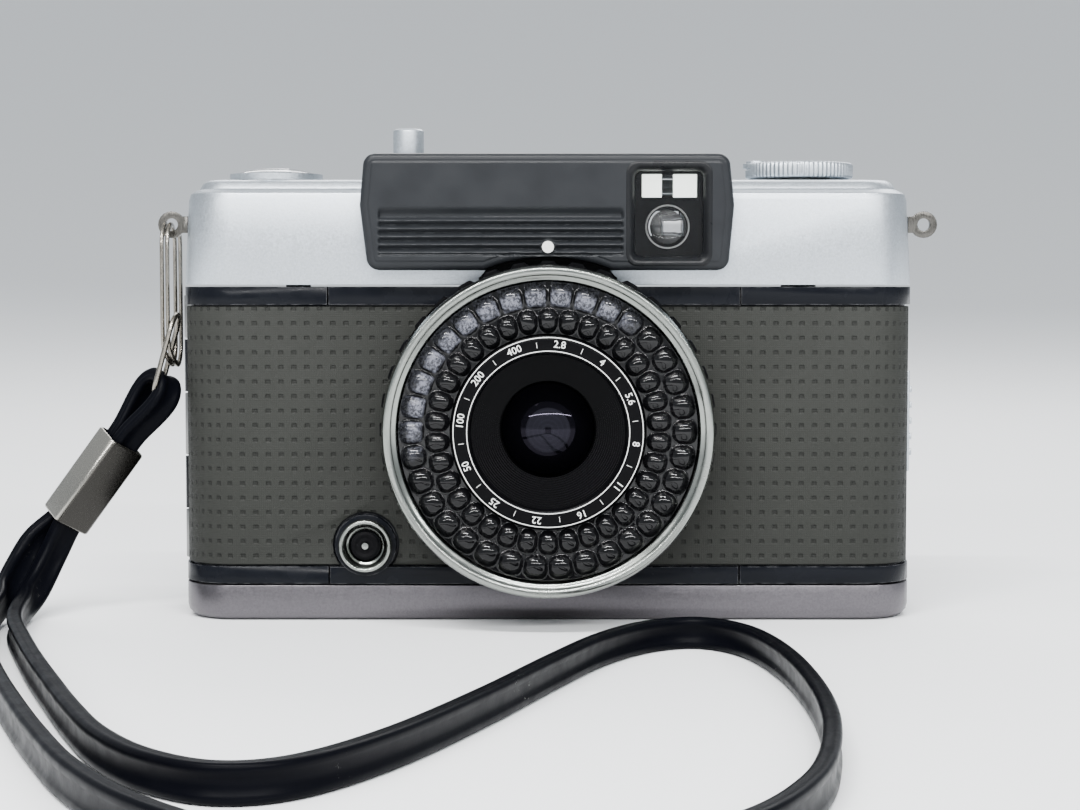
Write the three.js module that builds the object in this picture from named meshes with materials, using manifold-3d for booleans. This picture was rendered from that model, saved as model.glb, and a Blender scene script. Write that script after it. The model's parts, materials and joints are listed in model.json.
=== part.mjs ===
// Half frame viewfinder camera with a selenium cell ring round its lens, a hinged back and a wrist strap.
// Millimetres, +Z up. The lens looks along -Y and the camera stands on its base plate at z = 0.

import * as THREE from 'three';
import Module from 'manifold-3d';
import { mergeVertices } from 'three/addons/utils/BufferGeometryUtils.js';

const wasm = await Module();
wasm.setup();

// ---------------------------------------------------------------- driving dimensions

const BODY = { half: 56.5, front: -8, back: 20.8, frontCorner: 8, backCorner: 7 };
const LEVEL = { bottomSeam: 5.5, leatherLow: 8.7, leatherHigh: 48.3, topSeam: 51.6, deck: 67.7 };
const GAP = 0.3;
const DOOR_SPLIT = 13.7;
const SKIN = { inset: 0.2, thick: 0.5, bed: 0.8 };
const PLATE = { left: -33.4, right: 29.2, proud: 0.3, back: -6.6, face: -7.2 };
const LENS = { z: 30, ring: 24.5, bezelBore: 22.4, front: -22.5, cellBore: 14.4 };
const FLUTES = { radius: 25.2, depth: 0.7, count: 36 };
const SHROUD = { front: -11.6, back: -8.3, low: 54.1, high: 71.9, bevel: 0.9 };
const RIBS = { count: 5, low: 56.5, pitch: 1.1, height: 0.5, left: -26, right: 11.6 };
const INDEX_DOT = { z: 57.3, radius: 0.9 };
const OBJECTIVE = { x: 18.1, z: 60.4 };
const FINDER = { left: 12.2, right: 24.3, low: 54.9, high: 69.7 };
const CHAMBER = { front: -5.3, low: 8.4, high: 48.6, leftX: [-53.7, -26.2], rightX: [27.4, 52.8] };
const GATE = { width: 18, height: 24, rail: 17, front: 12 };
const SPOOL = { x: -40, y: 9.5 };
const WHEEL = { radius: 13, low: 52.4, high: 55.6, teeth: 60, notch: 0.5 };
const SPROCKET = { x: -20.4, y: 12.4, radius: 4.2, teeth: 8, rows: [15, 45], well: 5.6 };
const REWIND = { x: 40, y: 7.3, radius: 8.5 };
const COUNTER = { x: -42.7, y: 4 };
const RELEASE = { x: -21.7, y: 1, radius: 2.4 };
const HINGE = { x: -57.4, y: 13.7, pin: 0.7, bore: 1, outer: 1.7, low: 7.2, high: 49.9 };
const KNUCKLES = [[15.3, 23.7], [34.3, 42.7]];
const CATCH_GRIPS = [25, 27.5, 30, 32.5, 35];
const SOCKET = { x: -27.9, z: 11.8 };
const SHOE = { front: -2.6, back: 15.4, contact: 6.4 };
const LUG = { x: 58.9, y: 2, z: 61, outer: 2.1, hole: 1, half: 0.6 };
const TRIPOD = { x: 30, y: 6, bore: 3.2, outer: 4.3 };
const BASE_SCREWS = [[-48, 2], [48, 2]];
const REWIND_RELEASE = { x: -26, y: 9, radius: 2.6 };
const STRAP = { width: 4.4, thick: 2.2, spread: 1.6 };
const SPLIT_RING = { x: -LUG.x - 0.2, length: 21.9, width: 7, wire: 0.4 };
const LINK = { top: [-57.85, 47], foot: [-61.45, 34.05], y: 0, width: 6.4, wire: 0.4 };
const CLAMP = { length: 15.4, x: -71.3, y: 0, z: 20.9, tilt: THREE.MathUtils.degToRad(36) };

// ---------------------------------------------------------------- colours

const finish = (color, roughness, metalness) => ({ color, roughness, metalness });
const SATIN = finish(0xbcc1c6, 0.45, 0.9);
const CHROME = finish(0xd0d2d4, 0.2, 1);
const STEEL = finish(0x9a9a98, 0.4, 0.9);
const BLACK_PAINT = finish(0x1c1e22, 0.35, 0.1);
const DARK_GREY = finish(0x45474a, 0.5, 0.2);
const MATT_BLACK = finish(0x101012, 0.7, 0);
const OLIVE = finish(0x56584f, 0.8, 0);
const CLEAR = finish(0xcfd6da, 0.1, 0);
const CELL = finish(0x2a2730, 0.4, 0.2);
const BRASS = finish(0xb59a55, 0.35, 0.9);
const VINYL = finish(0x0b0c10, 0.45, 0);
const RED = finish(0xb02018, 0.6, 0);
const NICKEL = finish(0xa8a294, 0.35, 0.9);
const WHITE = finish(0xf0f0ee, 0.6, 0);

// ---------------------------------------------------------------- geometry helpers

// A closed three.js geometry as a manifold-3d solid, its faces turned outwards.
function solid(geometry) {
  const bare = geometry.clone();
  bare.deleteAttribute('normal');
  bare.deleteAttribute('uv');
  const merged = mergeVertices(bare, 1e-4);
  const points = merged.attributes.position.array;
  const corner = (i) => new THREE.Vector3().fromArray(points, 3 * i);
  const faces = [];
  let volume = 0;
  const index = merged.index.array;
  for (let i = 0; i < index.length; i += 3) {
    const [a, b, c] = index.slice(i, i + 3);
    if (a === b || b === c || a === c) continue;
    faces.push([a, b, c]);
    volume += corner(a).dot(corner(b).cross(corner(c)));
  }
  const order = volume < 0 ? faces.map(([a, b, c]) => [a, c, b]) : faces;
  return new wasm.Manifold(new wasm.Mesh({
    numProp: 3,
    vertProperties: new Float32Array(points),
    triVerts: new Uint32Array(order.flat()),
  }));
}

// The BufferGeometry of a solid, with flat normals.
function surface(shape) {
  const mesh = shape.getMesh();
  const geometry = new THREE.BufferGeometry();
  geometry.setAttribute('position', new THREE.BufferAttribute(new Float32Array(mesh.vertProperties), 3));
  geometry.setIndex(new THREE.BufferAttribute(new Uint32Array(mesh.triVerts), 1));
  geometry.computeVertexNormals();
  return geometry;
}

const joined = (...shapes) => shapes.reduce((whole, next) => whole.add(next));
const cut = (shape, ...tools) => tools.reduce((whole, tool) => whole.subtract(tool), shape);

// An upright rectangle outline in the plane, with its own corner radius at the low-y and high-y ends.
function outline(x0, x1, y0, y1, lowRadius = 0, highRadius = lowRadius, steps = 6) {
  const corners = [
    [x1 - lowRadius, y0 + lowRadius, lowRadius, -90],
    [x1 - highRadius, y1 - highRadius, highRadius, 0],
    [x0 + highRadius, y1 - highRadius, highRadius, 90],
    [x0 + lowRadius, y0 + lowRadius, lowRadius, 180],
  ];
  const points = [];
  for (const [x, y, radius, start] of corners) {
    const count = radius > 0 ? steps : 0;
    for (let i = 0; i <= count; i += 1) {
      const angle = THREE.MathUtils.degToRad(start + (count ? (90 * i) / count : 0));
      points.push(new THREE.Vector2(x + radius * Math.cos(angle), y + radius * Math.sin(angle)));
    }
  }
  return points;
}

const circle = (x, y, radius, count = 32) => Array.from({ length: count }, (_, i) => {
  const angle = (2 * Math.PI * i) / count;
  return new THREE.Vector2(x + radius * Math.cos(angle), y + radius * Math.sin(angle));
});

// A plan outline raised from z0 to z1.
function raised(points, z0, z1) {
  const settings = { depth: z1 - z0, bevelEnabled: false };
  return solid(new THREE.ExtrudeGeometry(new THREE.Shape(points), settings).translate(0, 0, z0));
}

// A front-view outline (x, z) carried through from y0 to y1.
function through(points, y0, y1) {
  const settings = { depth: y1 - y0, bevelEnabled: false };
  const geometry = new THREE.ExtrudeGeometry(new THREE.Shape(points), settings);
  return solid(geometry.rotateX(Math.PI / 2).translate(0, y1, 0));
}

const block = (x0, x1, y0, y1, z0, z1) => raised(outline(x0, x1, y0, y1), z0, z1);

// Cylinders along Z and along Y.
const post = (x, y, z0, z1, radius, sides = 24) => raised(circle(x, y, radius, sides), z0, z1);
const rod = (x, z, y0, y1, radius, sides = 24) => through(circle(x, z, radius, sides), y0, y1);

// A turned part: profile pairs are (radius, place along the axis).
const profile = (pairs) => pairs.map(([radius, place]) => new THREE.Vector2(radius, place));
const turnedY = (pairs, sides = 40) => solid(new THREE.LatheGeometry(profile(pairs), sides));
const turnedZ = (pairs, sides = 32) =>
  solid(new THREE.LatheGeometry(profile(pairs), sides).rotateX(Math.PI / 2));
const ring = (r0, r1, a, b) => [[r0, a], [r1, a], [r1, b], [r0, b], [r0, a]];

// Where a loft's outline point goes: layers stacked upwards, or one behind the other.
const upwards = (point, level) => [point.x, point.y, level];
const backwards = (point, level) => [point.x, level, point.y];

// Outlines with equal point counts, each at its own level, joined up and capped at both ends.
function loft(layers, place = upwards) {
  const count = layers[0].points.length;
  const positions = [];
  for (const { points, level } of layers) {
    for (const point of points) positions.push(...place(point, level));
  }
  const faces = [];
  for (let layer = 0; layer + 1 < layers.length; layer += 1) {
    for (let i = 0; i < count; i += 1) {
      const a = layer * count + i;
      const b = layer * count + ((i + 1) % count);
      faces.push(a, b, b + count, a, b + count, a + count);
    }
  }
  const top = (layers.length - 1) * count;
  for (let i = 1; i + 1 < count; i += 1) faces.push(0, i + 1, i, top, top + i, top + i + 1);
  const geometry = new THREE.BufferGeometry();
  geometry.setAttribute('position', new THREE.Float32BufferAttribute(positions, 3));
  geometry.setIndex(faces);
  return solid(geometry);
}

// The camera's plan outline, moved in by inset.
const plan = (inset) => outline(
  -BODY.half + inset, BODY.half - inset, BODY.front + inset, BODY.back - inset,
  BODY.frontCorner - inset, BODY.backCorner - inset,
);
const stack = (pairs) => loft(pairs.map(([level, inset]) => ({ level, points: plan(inset) })));

// ---------------------------------------------------------------- the scene graph

const camera = new THREE.Group();
const lens = new THREE.Group();
lens.position.set(0, 0, LENS.z);
camera.add(lens);

function part(name, shape, look, parent = camera) {
  const material = new THREE.MeshStandardMaterial(look);
  const mesh = new THREE.Mesh(surface(shape), material);
  mesh.name = name;
  parent.add(mesh);
  return mesh;
}

// ---------------------------------------------------------------- body castings and skins

// The front half of the body outline, open to the door split.
const frontPlan = (inset, back = DOOR_SPLIT - GAP) => outline(
  -BODY.half + inset, BODY.half - inset, BODY.front + inset, back, BODY.frontCorner - inset, 0,
);
// The rear shell outline.
const doorPlan = (inset, front = DOOR_SPLIT) => outline(
  -BODY.half + inset, BODY.half - inset, front, BODY.back - inset, 0, BODY.backCorner - inset,
);
const BANDS = [
  [LEVEL.bottomSeam + GAP, LEVEL.leatherLow - GAP],
  [LEVEL.leatherHigh + GAP, LEVEL.topSeam - GAP],
];

function chassis() {
  const [[low0, low1], [high0, high1]] = BANDS;
  const middle = raised(frontPlan(SKIN.bed), low1 - 0.1, high0 + 0.1);
  const bands = BANDS.map(([z0, z1]) => raised(frontPlan(0), z0, z1));
  const tongues = BANDS.map(([z0, z1]) => raised(outline(-54.2, 54.2, 13, 19, 0, 5.2), z0, z1));
  const rails = block(-24, 24, 13, GATE.rail, low1 - 0.1, high0 + 0.1);
  const whole = joined(middle, ...bands, ...tongues, rails);
  const chamber = ([x0, x1]) =>
    raised(outline(x0, x1, CHAMBER.front, 24, 8, 0), CHAMBER.low, CHAMBER.high);
  const tunnel = block(-10.5, 10.5, -12, 15.6, LENS.z - 13.5, LENS.z + 13.5);
  const [gateX, gateZ] = [GATE.width / 2, GATE.height / 2];
  const gate = block(-gateX, gateX, GATE.front, 24, LENS.z - gateZ, LENS.z + gateZ);
  const seat = block(PLATE.left - GAP, PLATE.right + GAP, -12, PLATE.back + GAP, low0 - 1, high1 + 1);
  const well = joined(
    post(SPROCKET.x, SPROCKET.y, CHAMBER.low, CHAMBER.high, SPROCKET.well),
    block(SPROCKET.x - SPROCKET.well, SPROCKET.x + SPROCKET.well, SPROCKET.y, 24, CHAMBER.low, CHAMBER.high),
  );
  const spoolHole = post(SPOOL.x, SPOOL.y, CHAMBER.high - 1, high1 + 1, 2.4, 16);
  const forkHole = post(REWIND.x, REWIND.y, CHAMBER.high - 1, high1 + 1, 3.4, 16);
  const hingeNotch = post(HINGE.x, HINGE.y, low0 - 1, high1 + 1, HINGE.outer + GAP, 16);
  return cut(whole, chamber(CHAMBER.leftX), chamber(CHAMBER.rightX), tunnel, gate, seat, well,
    spoolHole, forkHole, hingeNotch);
}

function lensPlate() {
  const strips = BANDS.map(([z0, z1]) =>
    block(PLATE.left, PLATE.right, BODY.front - PLATE.proud, PLATE.back, z0, z1));
  const web = block(PLATE.left, PLATE.right, PLATE.face, PLATE.back, BANDS[0][0], BANDS[1][1]);
  const boss = rod(SOCKET.x, SOCKET.z, BODY.front - 0.6, PLATE.back, 4.7);
  return cut(joined(web, ...strips, boss), rod(0, LENS.z, -12, 0, 10.4, 32));
}

// A skin round the front and sides between the two bands, on one side of the lens.
function frontLeather(side) {
  const outer = raised(frontPlan(SKIN.inset), LEVEL.leatherLow, LEVEL.leatherHigh);
  const inner = raised(frontPlan(SKIN.inset + SKIN.thick, 20), 0, 60);
  const half = side < 0 ? block(0.2, 70, -20, 30, 0, 60) : block(-70, -0.2, -20, 30, 0, 60);
  const lensHole = rod(0, LENS.z, -12, 0, LENS.ring + 0.6, 48);
  const socketHole = rod(SOCKET.x, SOCKET.z, -12, 0, 5.1);
  const hingeNotch = post(HINGE.x, HINGE.y, 0, 60, HINGE.outer + GAP, 16);
  return cut(outer, inner, half, lensHole, socketHole, hingeNotch);
}

function backDoor() {
  const low = LEVEL.bottomSeam + 0.5;
  const high = LEVEL.topSeam - 0.5;
  const shell = joined(
    raised(doorPlan(SKIN.bed), low, high),
    raised(doorPlan(0), low, LEVEL.leatherLow - GAP),
    raised(doorPlan(0), LEVEL.leatherHigh + GAP, high),
  );
  const hollow = raised(outline(-54.6, 54.6, 10, 19.3, 0, 5.4), 0, 60);
  const relief = post(HINGE.x, HINGE.y, 0, 60, HINGE.outer + GAP, 16);
  const knuckles = KNUCKLES.map(([z0, z1]) => joined(
    post(HINGE.x, HINGE.y, z0, z1, HINGE.outer, 20),
    block(HINGE.x, -54.9, HINGE.y + GAP, HINGE.y + HINGE.outer, z0, z1),
  ));
  const bore = post(HINGE.x, HINGE.y, 0, 60, HINGE.bore, 16);
  return cut(joined(cut(shell, hollow, relief), ...knuckles), bore);
}

function hingePin() {
  const { pin, outer, low, high } = HINGE;
  const pairs = [[0, low], [outer, low]];
  for (const [z0, z1] of KNUCKLES) {
    pairs.push([outer, z0 - GAP], [pin, z0 - GAP], [pin, z1 + GAP], [outer, z1 + GAP]);
  }
  pairs.push([outer, high], [0, high]);
  return turnedZ(pairs, 16);
}

function backLeather() {
  const outer = raised(doorPlan(SKIN.inset), LEVEL.leatherLow, LEVEL.leatherHigh);
  const inner = raised(doorPlan(SKIN.inset + SKIN.thick, 10), 0, 60);
  const hingeNotch = post(HINGE.x, HINGE.y, 0, 60, HINGE.outer + 1, 16);
  return cut(outer, inner, hingeNotch);
}

part('chassis', chassis(), BLACK_PAINT);
part('lens_plate', lensPlate(), BLACK_PAINT);
part('front_leather_left', frontLeather(-1), OLIVE);
part('front_leather_right', frontLeather(1), OLIVE);
part('back_door', backDoor(), BLACK_PAINT);
part('back_leather', backLeather(), OLIVE);

const hinge = part('door_hinge_pin', hingePin(), STEEL);
hinge.position.set(HINGE.x, HINGE.y, 0);

// The film pressure plate inside the door.
part('pressure_plate', raised(outline(-15, 15, 17.3, 17.9), LENS.z - 18, LENS.z + 18), STEEL);

// The back's sliding catch on the side of the body.
const catchBody = block(BODY.half + 0.1, BODY.half + 1, 4.5, 11.5, 22, 38);
const catchGrips = CATCH_GRIPS.map((z) =>
  block(BODY.half + 0.9, BODY.half + 1.5, 5.2, 10.8, z - 0.5, z + 0.5));
part('door_catch', joined(catchBody, ...catchGrips), SATIN);

// ---------------------------------------------------------------- covers

function topCover() {
  const outer = stack([
    [LEVEL.topSeam, 0], [64.6, 0.7], [65.6, 1], [66.1, 1.9], [66.3, 2.4], [67.2, 2.9], [LEVEL.deck, 3.8],
  ]);
  const inner = stack([[LEVEL.topSeam - 1, 1.1], [64.4, 1.8], [66.5, 3.4]]);
  const finderHole = block(FINDER.left + 0.7, FINDER.right - 0.7, -12, -4, FINDER.low + 0.6, 65.4);
  const eyeHole = block(14, 22, 15, 24, 58, 64.4);
  const wheelSlot = block(-48.6, -31.4, 15, 24, WHEEL.low - 0.4, WHEEL.high + 0.4);
  const counterHole = post(COUNTER.x, COUNTER.y, 60, 70, 6.4);
  const releaseHole = post(RELEASE.x, RELEASE.y, 60, 70, 3);
  const shaftHole = post(REWIND.x, REWIND.y, 60, 70, 3.4);
  return cut(outer, inner, finderHole, eyeHole, wheelSlot, counterHole, releaseHole, shaftHole);
}

function bottomCover() {
  const outer = stack([[0, 1.8], [0.3, 0.9], [1.1, 0.2], [2, 0], [LEVEL.bottomSeam, 0]]);
  const inner = stack([[1.2, 1.4], [LEVEL.bottomSeam + 1, 1.4]]);
  const screwHoles = BASE_SCREWS.map(([x, y]) => post(x, y, -1, 3, 2, 16));
  return cut(outer, inner, post(TRIPOD.x, TRIPOD.y, -1, 3, TRIPOD.outer + GAP),
    post(REWIND_RELEASE.x, REWIND_RELEASE.y, -1, 3, REWIND_RELEASE.radius + GAP), ...screwHoles);
}

part('top_cover', topCover(), SATIN);
part('bottom_cover', bottomCover(), SATIN);

BASE_SCREWS.forEach(([x, y], i) => {
  const slot = block(-2, 2, -0.3, 0.3, 0, 0.8);
  const head = turnedZ([[0, 0.3], [1.7, 0.3], [1.7, 1.3], [1, 1.3], [1, 5], [0, 5]], 16);
  const screw = part(`base_screw_${i + 1}`, cut(head, slot), CHROME);
  screw.position.set(x, y, 0);
});

const socketBody = ring(TRIPOD.bore, TRIPOD.outer, 0.02, 5.2);
part('tripod_socket', turnedZ(socketBody), CHROME).position.set(TRIPOD.x, TRIPOD.y, 0);
const pushProfile = [[0, 0.5], [2.2, 0.5], [REWIND_RELEASE.radius, 0.9], [REWIND_RELEASE.radius, 4], [0, 4]];
part('rewind_release_button', turnedZ(pushProfile, 24), CHROME)
  .position.set(REWIND_RELEASE.x, REWIND_RELEASE.y, 0);

// ---------------------------------------------------------------- viewfinder

// The escutcheon's front outline: widest a third of the way down.
const shroudOutline = (inset) => [
  [-26.3 + inset, SHROUD.low + inset], [26.3 - inset, SHROUD.low + inset],
  [27 - inset, SHROUD.low + 0.8 + inset], [28 - inset, 63.6],
  [27.3 - inset, SHROUD.high - 1 - inset], [26.2 - inset, SHROUD.high - inset],
  [-26.8 + inset, SHROUD.high - inset], [-27.8 + inset, SHROUD.high - 1 - inset],
  [-28.4 + inset, 63.6], [-27.1 + inset, SHROUD.low + 0.8 + inset],
].map(([x, z]) => new THREE.Vector2(x, z));

function shroud() {
  const body = loft([
    { level: SHROUD.back, points: shroudOutline(0) },
    { level: SHROUD.front + SHROUD.bevel, points: shroudOutline(0.15) },
    { level: SHROUD.front, points: shroudOutline(SHROUD.bevel) },
  ], backwards);
  const roof = raisedAlongX([[-8.6, 68], [-8.6, 71.6], [-7, 71.1], [-3, 68]], -26, 25.6);
  const window = block(FINDER.left, FINDER.right, -20, SHROUD.back + 0.4, FINDER.low, FINDER.high);
  const recess = block(RIBS.left, RIBS.right, SHROUD.front - 1, SHROUD.front + 0.5,
    RIBS.low - 0.5, RIBS.low + RIBS.count * RIBS.pitch - 0.1);
  const ribs = Array.from({ length: RIBS.count }, (_, i) => {
    const low = RIBS.low + RIBS.pitch * i;
    return block(RIBS.left + 0.1, RIBS.right - 0.1, SHROUD.front + 0.1, SHROUD.front + 0.9,
      low, low + RIBS.height);
  });
  const dotSeat = rod(0, INDEX_DOT.z, -20, SHROUD.front + 0.6, INDEX_DOT.radius + GAP, 16);
  const lensNotch = rod(0, LENS.z, -20, 0, LENS.ring + 1.1, 64);
  return cut(joined(cut(body, recess), ...ribs, roof), window, dotSeat, lensNotch);
}

// A side-view outline (y, z) carried through from x0 to x1.
function raisedAlongX(pairs, x0, x1) {
  const points = pairs.map(([y, z]) => new THREE.Vector2(y, z));
  const settings = { depth: x1 - x0, bevelEnabled: false };
  const geometry = new THREE.ExtrudeGeometry(new THREE.Shape(points), settings);
  geometry.rotateX(Math.PI / 2).rotateZ(Math.PI / 2);
  return solid(geometry.translate(x0, 0, 0));
}

const frame2d = (x0, x1, z0, z1, wall, y0, y1) => cut(
  block(x0, x1, y0, y1, z0, z1),
  block(x0 + wall, x1 - wall, y0 - 1, y1 + 1, z0 + wall, z1 - wall),
);

const { left: FX0, right: FX1, low: FZ0, high: FZ1 } = FINDER;
part('viewfinder_shroud', shroud(), DARK_GREY);
const dot = rod(0, INDEX_DOT.z, SHROUD.front - 0.1, SHROUD.front + 0.4, INDEX_DOT.radius, 16);
part('index_dot', dot, WHITE);
part('viewfinder_frame', frame2d(FX0 + 0.2, FX1 - 0.2, FZ0 + 0.2, FZ1 - 0.2, 0.7, -11.3, -10.4), BLACK_PAINT);
part('viewfinder_window', block(FX0 + 0.2, FX1 - 0.2, -10.2, -9.7, FZ0 + 0.2, FZ1 - 0.2), CLEAR);
part('brightframe_mask', cut(
  block(FX0 + 0.2, FX1 - 0.2, -9.3, -8.9, FZ0 + 0.2, FZ1 - 0.2),
  rod(OBJECTIVE.x, OBJECTIVE.z, -10, -8, 2.9),
  block(14.2, 22.6, -10, -8, 64.4, 68.2),
), MATT_BLACK);
const objective = [[0, -9.4], [1.4, -9.2], [2.6, -8.4], [2.6, -7.6], [0, -7.6]];
part('viewfinder_objective', turnedY(objective, 24), CLEAR)
  .position.set(OBJECTIVE.x, 0, OBJECTIVE.z);
part('viewfinder_tube', frame2d(13.2, 23.2, 56, 65.2, 0.8, -6.4, 17.9), MATT_BLACK);
part('viewfinder_flag', block(15, 21.4, -1, -0.7, 57.4, 58.8), RED);
part('eyepiece_lens', block(14.3, 21.7, 19.9, 20.7, 58.3, 64.1), CLEAR);
part('eyepiece_frame', frame2d(12.6, 23.4, 57, 65.4, 1.6, 21.1, 22), BLACK_PAINT);

// ---------------------------------------------------------------- top plate controls

const button = [[0, 58], [1.1, 58], [1.1, 69.6], [RELEASE.radius, 69.6], [RELEASE.radius, 75.4],
  [2, 75.8], [0, 75.8]];
part('release_button', turnedZ(button, 24), CHROME).position.set(RELEASE.x, RELEASE.y, 0);
part('release_collar', turnedZ(ring(2.75, 3.9, LEVEL.deck + GAP, 70.6), 24), CHROME)
  .position.set(RELEASE.x, RELEASE.y, 0);

const counterParts = [
  ['counter_bezel', ring(6.3, 7.3, LEVEL.deck + 0.2, 68.9), SATIN],
  ['counter_window', [[0, 68.1], [6.1, 68.1], [6.1, 68.7], [4.4, 69.4], [2.2, 69.8], [0, 69.9]], CLEAR],
  ['counter_dial', [[0, 61], [0.9, 61], [0.9, 66.9], [6, 66.9], [6, 67.5], [0, 67.5]], BLACK_PAINT],
];
for (const [name, pairs, look] of counterParts) {
  part(name, turnedZ(pairs, 32), look).position.set(COUNTER.x, COUNTER.y, 0);
}

const rewind = new THREE.Group();
rewind.position.set(REWIND.x, REWIND.y, 0);
camera.add(rewind);
const knobProfile = [[0, 68.3], [7.9, 68.3], [REWIND.radius, 68.8], [REWIND.radius, 70.4], [8.1, 70.8],
  [7.3, 70.8], [7.3, 69.7], [0, 69.7]];
const knob = cut(turnedZ(knobProfile, 40), block(-12, -6, -2.3, 2.3, 69.7, 72));
part('rewind_knob', knob, SATIN, rewind);
const crankArm = raised(outline(-8.9, 4.6, -2, 2, 1.9, 1.9, 3), 70, 70.8);
part('rewind_crank', joined(crankArm, post(-6.9, 0, 70.7, 71.2, 1.5, 16)), SATIN, rewind);
const fork = cut(post(0, 0, 43, 68, 2.8), block(-0.9, 0.9, -4, 4, 42, 46));
part('rewind_shaft', fork, STEEL, rewind);

// The accessory shoe: a floor with two folded rails, and its centre contact.
const shoeFloor = block(-10.6, 10.6, SHOE.front, SHOE.back, LEVEL.deck + GAP, 68.6);
const shoeRails = [-1, 1].map((side) => {
  const [x0, x1] = [side * 9.6, side * 10.6].sort((a, b) => a - b);
  const [lip0, lip1] = [side * 6.4, side * 10.6].sort((a, b) => a - b);
  return joined(
    block(x0, x1, SHOE.front, SHOE.back, 68.5, 71.4),
    block(lip0, lip1, SHOE.front, SHOE.back, 70.7, 71.4),
  );
});
const contactHole = post(0, SHOE.contact, 60, 69, 2.6);
part('accessory_shoe', cut(joined(shoeFloor, ...shoeRails), contactHole), CHROME);
part('shoe_contact', post(0, SHOE.contact, LEVEL.deck + GAP, 68.8, 2.2, 20), BRASS);

// ---------------------------------------------------------------- film transport

const wheelOutline = Array.from({ length: 2 * WHEEL.teeth }, (_, i) => {
  const angle = (Math.PI * i) / WHEEL.teeth;
  const radius = i % 2 ? WHEEL.radius - WHEEL.notch : WHEEL.radius;
  return new THREE.Vector2(radius * Math.cos(angle), radius * Math.sin(angle));
});
part('advance_wheel', raised(wheelOutline, WHEEL.low, WHEEL.high), BLACK_PAINT)
  .position.set(SPOOL.x, SPOOL.y, 0);

const spoolProfile = [[0, 9], [9, 9], [9, 10], [5.6, 10], [5.6, 47], [9, 47], [9, 48], [2, 48],
  [2, WHEEL.low - GAP], [0, WHEEL.low - GAP]];
const filmSlot = block(-7, 7, -0.6, 0.6, 16, 41);
part('take_up_spool', cut(turnedZ(spoolProfile, 28), filmSlot), MATT_BLACK)
  .position.set(SPOOL.x, SPOOL.y, 0);

const spun = (points, angle) => points.map((point) => point.clone().rotateAround(new THREE.Vector2(), angle));

function sprocket() {
  const shaft = turnedZ([[0, 9], [2.4, 9], [2.4, 13], [SPROCKET.radius, 13], [SPROCKET.radius, 17], [2.8, 18],
    [2.8, 42], [SPROCKET.radius, 43], [SPROCKET.radius, 47], [0, 47]], 24);
  const teeth = Array.from({ length: SPROCKET.teeth }, (_, i) => {
    const tooth = spun(outline(3.8, 4.9, -0.5, 0.5), (2 * Math.PI * i) / SPROCKET.teeth);
    return joined(...SPROCKET.rows.map((z) => raised(tooth, z - 0.6, z + 0.6)));
  });
  return joined(shaft, ...teeth);
}
part('sprocket', sprocket(), STEEL).position.set(SPROCKET.x, SPROCKET.y, 0);

// ---------------------------------------------------------------- lens, shutter and cell

const scallopOutline = Array.from({ length: 4 * FLUTES.count }, (_, i) => {
  const angle = (2 * Math.PI * i) / (4 * FLUTES.count);
  const radius = FLUTES.radius - (i % 4 === 0 ? FLUTES.depth : 0);
  return new THREE.Vector2(radius * Math.cos(angle), radius * Math.sin(angle));
});
const apertureRing = cut(through(scallopOutline, -15.5, -9), rod(0, 0, -20, 0, 23.9, 48));
part('aperture_ring', apertureRing, BLACK_PAINT, lens);

const lensTurned = [
  ['lens_barrel', [[10.6, -8.5], [23.6, -8.5], [23.6, -16.8], [15, -16.8], [15, -15.8], [22.4, -15.8],
    [22.4, -10], [12.4, -10], [12.4, -13], [10.6, -13], [10.6, -8.5]], MATT_BLACK, 36],
  ['front_bezel', [[23.9, -15.8], [24.5, -15.8], [24.5, -21.6], [24, LENS.front], [23, LENS.front],
    [LENS.bezelBore, -21.8], [LENS.bezelBore, -17.1], [23.9, -17.1], [23.9, -15.8]], CHROME, 48],
  ['selenium_cell', ring(14.5, 22.1, -18.2, -17.2), CELL, 36],
  ['cell_cover', ring(LENS.cellBore, 22.1, -21.2, -18.6), CLEAR, 36],
  ['name_ring', [[11.4, -20.2], [12, -21.5], [14, -21.7], [14.1, -17.2], [11.4, -17.2], [11.4, -20.2]],
    BLACK_PAINT, 36],
  ['lens_baffle', [[11.1, -20.2], [11.1, -17.3], [8.4, -14.2], [7.4, -14.2], [7.4, -15], [10.5, -20.2],
    [11.1, -20.2]], MATT_BLACK, 32],
  ['front_element', [[0, -15.8], [3, -15.5], [5.4, -14.7], [7, -13.8], [7, -13.2], [0, -12.9]], CLEAR, 40],
  ['shutter_plate', ring(3.8, 10.2, -11.6, -10.8), STEEL, 32],
  ['rear_element', [[0, -5.6], [5.3, -5], [5.3, -3.4], [0, -2.6]], CLEAR, 32],
];
for (const [name, pairs, look, sides] of lensTurned) part(name, turnedY(pairs, sides), look, lens);

// Two shutter blades, each a plate with half of the square aperture cut from it.
function blade(side) {
  const sector = side > 0 ? outline(-4.4, 8, -4.6, 4.6, 2) : outline(-8, 4.4, -4.6, 4.6, 2);
  const y0 = side > 0 ? -12.1 : -12.5;
  const opening = through(circle(0, 0, 1, 4), -14, -10);
  return cut(through(sector, y0, y0 + 0.2), opening);
}
part('shutter_blade_left', blade(-1), STEEL, lens);
part('shutter_blade_right', blade(1), STEEL, lens);

// ---------------------------------------------------------------- flash socket

const socketParts = [
  ['sync_socket', [[2.4, -8.9], [4, -8.9], [4.1, -10], [3.7, -10.4], [3.2, -10.2], [2.4, -9.3], [2.4, -8.9]],
    CHROME],
  ['sync_insulator', ring(0.7, 2.1, -9.8, -8.9), MATT_BLACK],
  ['sync_pin', [[0, -8.9], [0.5, -8.9], [0.5, -9.9], [0, -10]], CHROME],
];
for (const [name, pairs, look] of socketParts) {
  part(name, turnedY(pairs, 24), look).position.set(SOCKET.x, 0, SOCKET.z);
}

// ---------------------------------------------------------------- strap lugs and strap

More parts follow.
